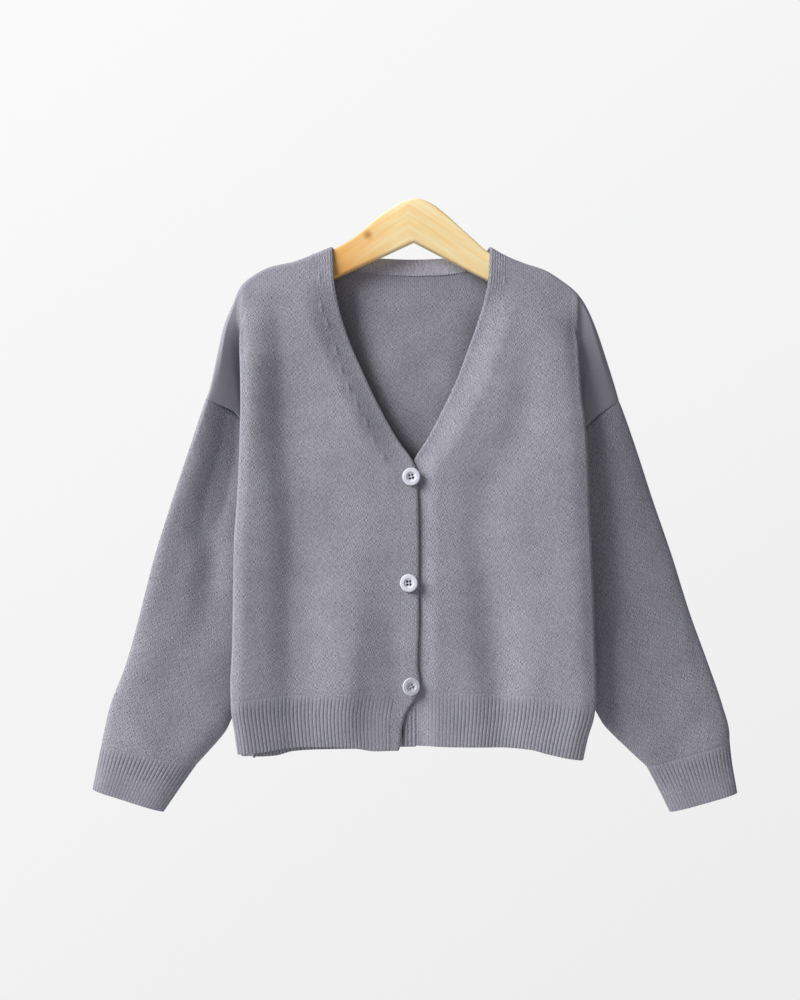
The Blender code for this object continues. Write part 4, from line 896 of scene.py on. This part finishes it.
# Lines of the soft folds. Columns: share of length, turn, half width, depth.
SLEEVE_FOLDS = {
    (RIGHT, FRONT): [
        ((0, 0.35, 16, 0), (0.1, 0.36, 18, 2.4), (0.2, 0.34, 18, 3.2), (0.33, 0.30, 16, 2.2), (0.45, 0.22, 14, 1.6),
         (0.6, 0.18, 12, 0)),
        ((0.3, 0.5, 14, 0), (0.42, 0.52, 14, 1.8), (0.6, 0.5, 14, 1), (0.75, 0.45, 14, 0)),
    ],
    (LEFT, FRONT): [
        ((0.05, 0.4, 18, 0), (0.2, 0.42, 20, 2.2), (0.4, 0.46, 20, 2.6), (0.6, 0.5, 20, 1.6), (0.85, 0.5, 18, 0)),
    ],
    (RIGHT, BACK): [
        ((0, 0.4, 18, 0), (0.15, 0.42, 18, 2.4), (0.4, 0.45, 20, 2.6), (0.7, 0.5, 18, 0.6), (0.9, 0.5, 18, 0)),
    ],
    (LEFT, BACK): [
        ((0, 0.36, 18, 0), (0.2, 0.38, 18, 2.6), (0.45, 0.42, 20, 2), (0.8, 0.45, 18, 0)),
    ],
}


def sleeve_point(side, face, turn, share):
    """A sleeve's outer face. 'turn' runs 0 outer edge to 1 inner edge, 'share' 0 armhole, 1 and 1.5 the cuff."""
    turn, share = np.broadcast_arrays(np.asarray(turn, float), np.asarray(share, float))
    outer_out, outer_height, inner_out, inner_height, half = along(SLEEVE[side], share)
    out, height = mix(outer_out, inner_out, turn), mix(outer_height, inner_height, turn)
    fade = np.maximum(1 - share / ARMHOLE_SHARE, 0) ** 2
    seam, seam_height = along(ARMHOLE[side], turn)
    top, underarm = SLEEVE[side][0][1:3], SLEEVE[side][0][3:5]
    out = out + (seam - mix(top[0], underarm[0], turn)) * fade
    height = height + (seam_height - mix(top[1], underarm[1], turn)) * fade
    oval = mix(ARMHOLE_OVAL, SLEEVE_OVAL, ease(share / OVAL_SHARE))
    depth = half * np.sqrt(np.maximum(1 - np.abs(2 * turn - 1) ** oval, 0))
    least = np.minimum(depth, LEAST_DEPTH)
    depth = depth * (1 - beside_body(side, out, height) * step(share, *HOLLOW_SHARES))
    width = np.hypot(outer_out - inner_out, outer_height - inner_height)
    folds = 0.0
    for line in SLEEVE_FOLDS[side, face]:
        middle, half_width, size = along(line, share)
        folds = folds + size * np.exp(-(((turn - middle) * width / half_width) ** 2))
    folds = folds + uneven(side * out, height, 5 * face)
    between = ease(turn / EDGE_TURN) * ease((1 - turn) / EDGE_TURN)
    depth = np.maximum(depth - folds * between, least) - SEAM_SINK * step(share, SEAM_SHARE, 0) * between
    return np.stack((side * out, face * depth + lean(side, out, height), height), -1)


def all_round(side, turns, shares):
    """A whole tube: its front from the outer to the inner edge, then its back."""
    turn, share = np.meshgrid(turns, shares)
    return np.concatenate((sleeve_point(side, FRONT, turn, share),
                           sleeve_point(side, BACK, turn[:, ::-1], share)[:, 1:]), 1)


SLEEVE_TURNS = 0.5 - 0.5 * np.cos(np.linspace(0, math.pi, 62))
SLEEVE_SHARES = spaced(0, (SEAM_SHARE, 3), (1, 133))
CUFF_SHARES = np.linspace(1, 1.5, 22)
for side, word in SIDES:
    places = all_round(side, SLEEVE_TURNS, SLEEVE_SHARES)
    out, height, (cosine, sine) = side * places[..., 0], places[..., 2], SLEEVE_SLANT
    counts = np.stack(((cosine * out + sine * height) / WALE, (sine * out - cosine * height) / COURSE), -1)
    tube = knitted("sleeve_tube_" + word, places, counts, [stocking_stitch, wrong_side])
    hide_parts("sleeve_" + word)

    turns = rib_columns(functools.partial(sleeve_point, side, FRONT), 0, 1, 1.25, CUFF_PITCH)
    places = all_round(side, turns, CUFF_SHARES)
    ribs, share = np.meshgrid(np.arange(places.shape[1]) / CELLS_A_RIB, CUFF_SHARES)
    whole = places.shape[1] / CELLS_A_RIB / 2       # ribs on each face
    from_edge = np.minimum(ribs % whole, whole - ribs % whole)
    held = np.maximum(CUFF_RIBS_HELD, np.exp(-((from_edge / CUFF_EDGE_RIBS) ** 2)))
    uneven_ribs = 0.85 + 0.15 * np.sin(3.1 * np.floor(ribs))
    relief = step(share, 1, 1.05) * mix(1, held, step(share, 1.1, 1.3)) * uneven_ribs
    places = ribbed(places, ribs, relief)
    counts = np.stack((ribs, run_length(places, 0) / COURSE), -1)
    cuff = knitted("ribbed_cuff_" + word, places, counts, [rib_stitch, wrong_side], relief)
    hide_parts("cuff_" + word)

# ---- neckband --------------------------------------------------------------------------
# A narrow folded band of the same knit round the back of the neck, linked on with a chain seam, that meets the front
# bands at the shoulders.
CHAIN_STITCH = 2.9
CHAIN_BEAD = (1.3, 0.9, 0.9)        # half length, width and height of one loop of the chain
CHAIN_LIFT = (0, -CLOTH - 0.4, 0.3)     # where a loop lies from the seam

# The same yarn, seen as single smooth strands, painted paler than the cloth, as painted light against the board's
# shadow on the chain.
linking_yarn = new_material("linking_yarn")
strand = node(linking_yarn, "BsdfPrincipled", {"Base Color": linear("#B4B3BF"), "Roughness": 0.9,
                                               "Specular IOR Level": 0.12})
node(linking_yarn, "OutputMaterial", {"Surface": strand})
# Upper edge. Columns: share from neck point to neck point, X, Y, height.
NECK_EDGE = ((0, -84, 0, -48), (0.025, -83.8, 3.4, -48), (0.055, -82.6, 7.6, -49.6), (0.12, -71, 9.9, -53),
             (0.22, -52, 11, -56), (0.34, -31, 11.6, -58), (0.5, -3, 11.9, -58.9), (0.66, 24, 11.6, -58),
             (0.78, 44, 11, -56), (0.88, 61, 9.9, -53), (0.945, 71.8, 7.6, -49.6), (0.975, 72.8, 3.4, -48),
             (1, 73, 0, -48))
shares = spaced(0, (0.12, 15), (0.88, 69), (1, 15))
across = np.linspace(0, 1, 12)
upper = np.stack(along(NECK_EDGE, shares), -1)
seam = []
for share in shares:
    side, corner = (RIGHT, 1 - 2 * share) if share < 0.5 else (LEFT, 2 * share - 1)
    reach = along(SHOULDER[side], shoulder_length(side, 1))[0]
    stop = corner * NECK_SEAM[side][-1][0] / reach
    seam.append(panel_point(side, BACK, np.array([stop]), np.array([0.0]))[0])
seam = np.array(seam)
places = mix(upper[None], seam[None], across[:, None, None])
counts = np.stack((run_length(places) / WALE, run_length(places, 0) / COURSE), -1)
# Its inner face, which faces the front, is painted paler, as painted light against the board's shadow.
neckband = knitted("neckband", places, counts, [stocking_stitch, painted_light_inside_yarn])
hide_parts("neckband_back")

chain = bmesh.new()
walked = run_length(seam[None])[0]
size = mathutils.Matrix.Diagonal((*(mathutils.Vector(CHAIN_BEAD) * MM), 1))
for at in np.arange(1.0, walked[-1] - 1, CHAIN_STITCH):
    here, ahead = (mathutils.Vector([np.interp(at + on, walked, seam[:, i]) for i in range(3)]) for on in (0, 0.5))
    put = mathutils.Matrix.Translation((here + mathutils.Vector(CHAIN_LIFT)) * MM)
    turn = (ahead - here).to_track_quat("X", "Z").to_matrix().to_4x4()
    bmesh.ops.create_icosphere(chain, subdivisions=1, radius=1, matrix=put @ turn @ size)
chain = place_in_scene("chain_seam", chain, [linking_yarn])
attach(chain, "root")

# ---- buttons ---------------------------------------------------------------------------
# Three four-hole buttons of cast polyester, 18 mm across, turned with a raised round rim and a shallow dish, sewn to
# the under band and pushed through the over band's buttonholes.
BUTTON_HOLE = 1.3       # radius of each sewing hole
BUTTON_HOLE_OUT = 2.15  # from the button's middle to a sewing hole
BUTTON_TO_BAND = 0.4    # air behind a button
BUTTON_COLUMN = -0.75   # column of the band on which a button lies
BUTTON_FACETS = 72
DRILL_LENGTH = 12.0     # long enough to go right through
# Columns: name, X, height, turn of the hole pattern, tilt about the upright axis (degrees).
BUTTONS = (("button_top", -5.2, -277.9, 12, -5), ("button_middle", -7.6, -382.8, 3, -6),
           ("button_bottom", -5.8, -484.5, 25, 15))
# Half section. Columns: radius, height above its back.
BUTTON_SECTION = ((0, 1.8), (4, 1.8), (4.45, 1.9), (4.65, 2.4), (4.85, 2.7), (5.2, 2.82), (5.9, 2.82), (6.5, 2.7),
                  (7.1, 2.8), (7.9, 2.76), (8.4, 2.6), (8.75, 2.25), (8.85, 1.8), (8.7, 1), (8.3, 0.4), (7.8, 0),
                  (0, 0))

# Cast polyester with a faint pearl: a pale cool lilac-white, smooth, with a clear soft highlight on the rim.
polyester = new_material("cast_polyester")
place = node(polyester, "TexCoord", out="Object")
cloud = node(polyester, "TexNoise", {"Vector": place, "Scale": 260.0, "Detail": 2.0})
shade = node(polyester, "ValToRGB", {0: cloud}, stops=((0.3, linear("#CBCBD9")), (0.7, linear("#D9D9E4"))))
cast = node(polyester, "BsdfPrincipled", {"Base Color": shade, "Roughness": 0.38, "Coat Weight": 0.1})
node(polyester, "OutputMaterial", {"Surface": cast})

for name, x, height, turn, tilt in BUTTONS:
    hem_top = HEM[RIGHT][1][1]
    row = 2 - (height - hem_top) / (CHEST_ROW - hem_top)
    seat = body_point(RIGHT, FRONT, [BUTTON_COLUMN], [row])[0]
    lift = BUTTON_TO_BAND + BUTTON_SECTION[-2][0] * math.sin(math.radians(abs(tilt)))
    put = (mathutils.Matrix.Translation(mathutils.Vector((x, seat[1] - lift, height)) * MM)
           @ mathutils.Matrix.Rotation(math.radians(tilt), 4, "Z") @ mathutils.Matrix.Rotation(math.pi / 2, 4, "X"))
    disc = bmesh.new()
    ring = [disc.verts.new((radius * MM, 0, rise * MM)) for radius, rise in BUTTON_SECTION]
    lines = [disc.edges.new(pair) for pair in zip(ring, ring[1:])]
    bmesh.ops.spin(disc, geom=ring + lines, cent=(0, 0, 0), axis=(0, 0, 1), dvec=(0, 0, 0), angle=2 * math.pi,
                   steps=BUTTON_FACETS, use_merge=True, use_duplicate=False)
    bmesh.ops.remove_doubles(disc, verts=disc.verts, dist=MERGED / 2 * MM)
    bmesh.ops.recalc_face_normals(disc, faces=disc.faces)
    bmesh.ops.transform(disc, matrix=put, verts=disc.verts)
    button = place_in_scene(name + "_turned", disc, [polyester])
    holes = bmesh.new()
    for corner in range(4):
        angle = math.radians(45 + 90 * corner + turn)
        out = mathutils.Vector((math.cos(angle), math.sin(angle), 0)) * BUTTON_HOLE_OUT * MM
        bmesh.ops.create_cone(holes, cap_ends=True, segments=20, radius1=BUTTON_HOLE * MM, radius2=BUTTON_HOLE * MM,
                              depth=DRILL_LENGTH * MM, matrix=put @ mathutils.Matrix.Translation(out))
    drill(button, holes)
    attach(button, "root")
    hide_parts(name)

# ---- studio ----------------------------------------------------------------------------
# A pale floor well below the hanging cardigan, a large soft light from the upper left, a small one from behind, a low
# even fill all round, and far off a pale paper cove that only the lens sees, which glows with painted light, paler
# towards the upper left and darker towards the lower right.
FLOOR_RADIUS, FLOOR_DROP, COVE_RADIUS = 1.5, 1.6, 9.0     # in metres, like all of the studio

paper = new_material("matt_paper")
sheet = node(paper, "BsdfPrincipled", {"Base Color": linear("#F4F4F4"), "Roughness": 0.9,
                                       "Specular IOR Level": 0.1})
node(paper, "OutputMaterial", {"Surface": sheet})
floor = bmesh.new()
bmesh.ops.create_circle(floor, cap_ends=True, segments=96, radius=FLOOR_RADIUS)
bmesh.ops.translate(floor, verts=floor.verts, vec=(0, 0, -FLOOR_DROP))
place_in_scene("studio_floor", floor, [paper])

# Painted light: the cove glows by itself, paler towards the upper left and darker towards the lower right, as if lit
# from there.
painted_glow_cove_paper = new_material("glowing_cove_painted_light")
x, y, z = node(painted_glow_cove_paper, "SeparateXYZ", {0: node(painted_glow_cove_paper, "TexCoord", out="Object")}).node.outputs
slope = node(painted_glow_cove_paper, "Math", {0: x, 1: -0.7, 2: z}, operation="MULTIPLY_ADD")
slope = node(painted_glow_cove_paper, "MapRange", {0: slope, 1: -6.0, 2: 6.0})
shade = node(painted_glow_cove_paper, "ValToRGB", {0: slope}, stops=((0.1, linear("#EDEDEE")), (0.9, linear("#FAFAFA"))))
glow = node(painted_glow_cove_paper, "Emission", {0: shade})
node(painted_glow_cove_paper, "OutputMaterial", {"Surface": glow})
cove = bmesh.new()
bmesh.ops.create_uvsphere(cove, u_segments=64, v_segments=32, radius=COVE_RADIUS)
bmesh.ops.reverse_faces(cove, faces=cove.faces)
cove_dome = place_in_scene("studio_cove", cove, [painted_glow_cove_paper])
cove_dome.visible_diffuse = cove_dome.visible_glossy = cove_dome.visible_transmission = False
cove_dome.visible_shadow = cove_dome.visible_volume_scatter = False

scene = bpy.context.scene
scene.view_settings.view_transform = "Standard"
world = bpy.data.worlds.new("studio")
world.use_nodes = True
fill = world.node_tree.nodes["Background"].inputs
fill["Color"].default_value, fill["Strength"].default_value = linear("#FCFCFF"), 0.24
scene.world = world
LAMP_AIM = mathutils.Vector((0, 0, -0.3))
# Columns: name, place, width, height, power.
for name, place, wide, high, power in (("key", (-4.94, -2.51, 2.90), 4.2, 3.2, 690.0),
                                       ("rear", (1.1, 1.6, 0.6), 1.2, 1.2, 24.0)):
    lamp = bpy.data.lights.new(name, "AREA")
    lamp.shape, lamp.size, lamp.size_y, lamp.energy = "RECTANGLE", wide, high, power
    light = bpy.data.objects.new(name, lamp)
    light.location = place
    light.rotation_euler = (LAMP_AIM - light.location).to_track_quat("-Z", "Y").to_euler()
    scene.collection.objects.link(light)

lens = bpy.data.cameras.new("front_view")
lens.lens, lens.sensor_width = 50.4, 36.0
camera = bpy.data.objects.new("front_view", lens)
camera.location = (-0.0165, -1.4, -0.301)
camera.rotation_euler = (math.pi / 2, 0, 0)
scene.collection.objects.link(camera)
scene.camera = camera
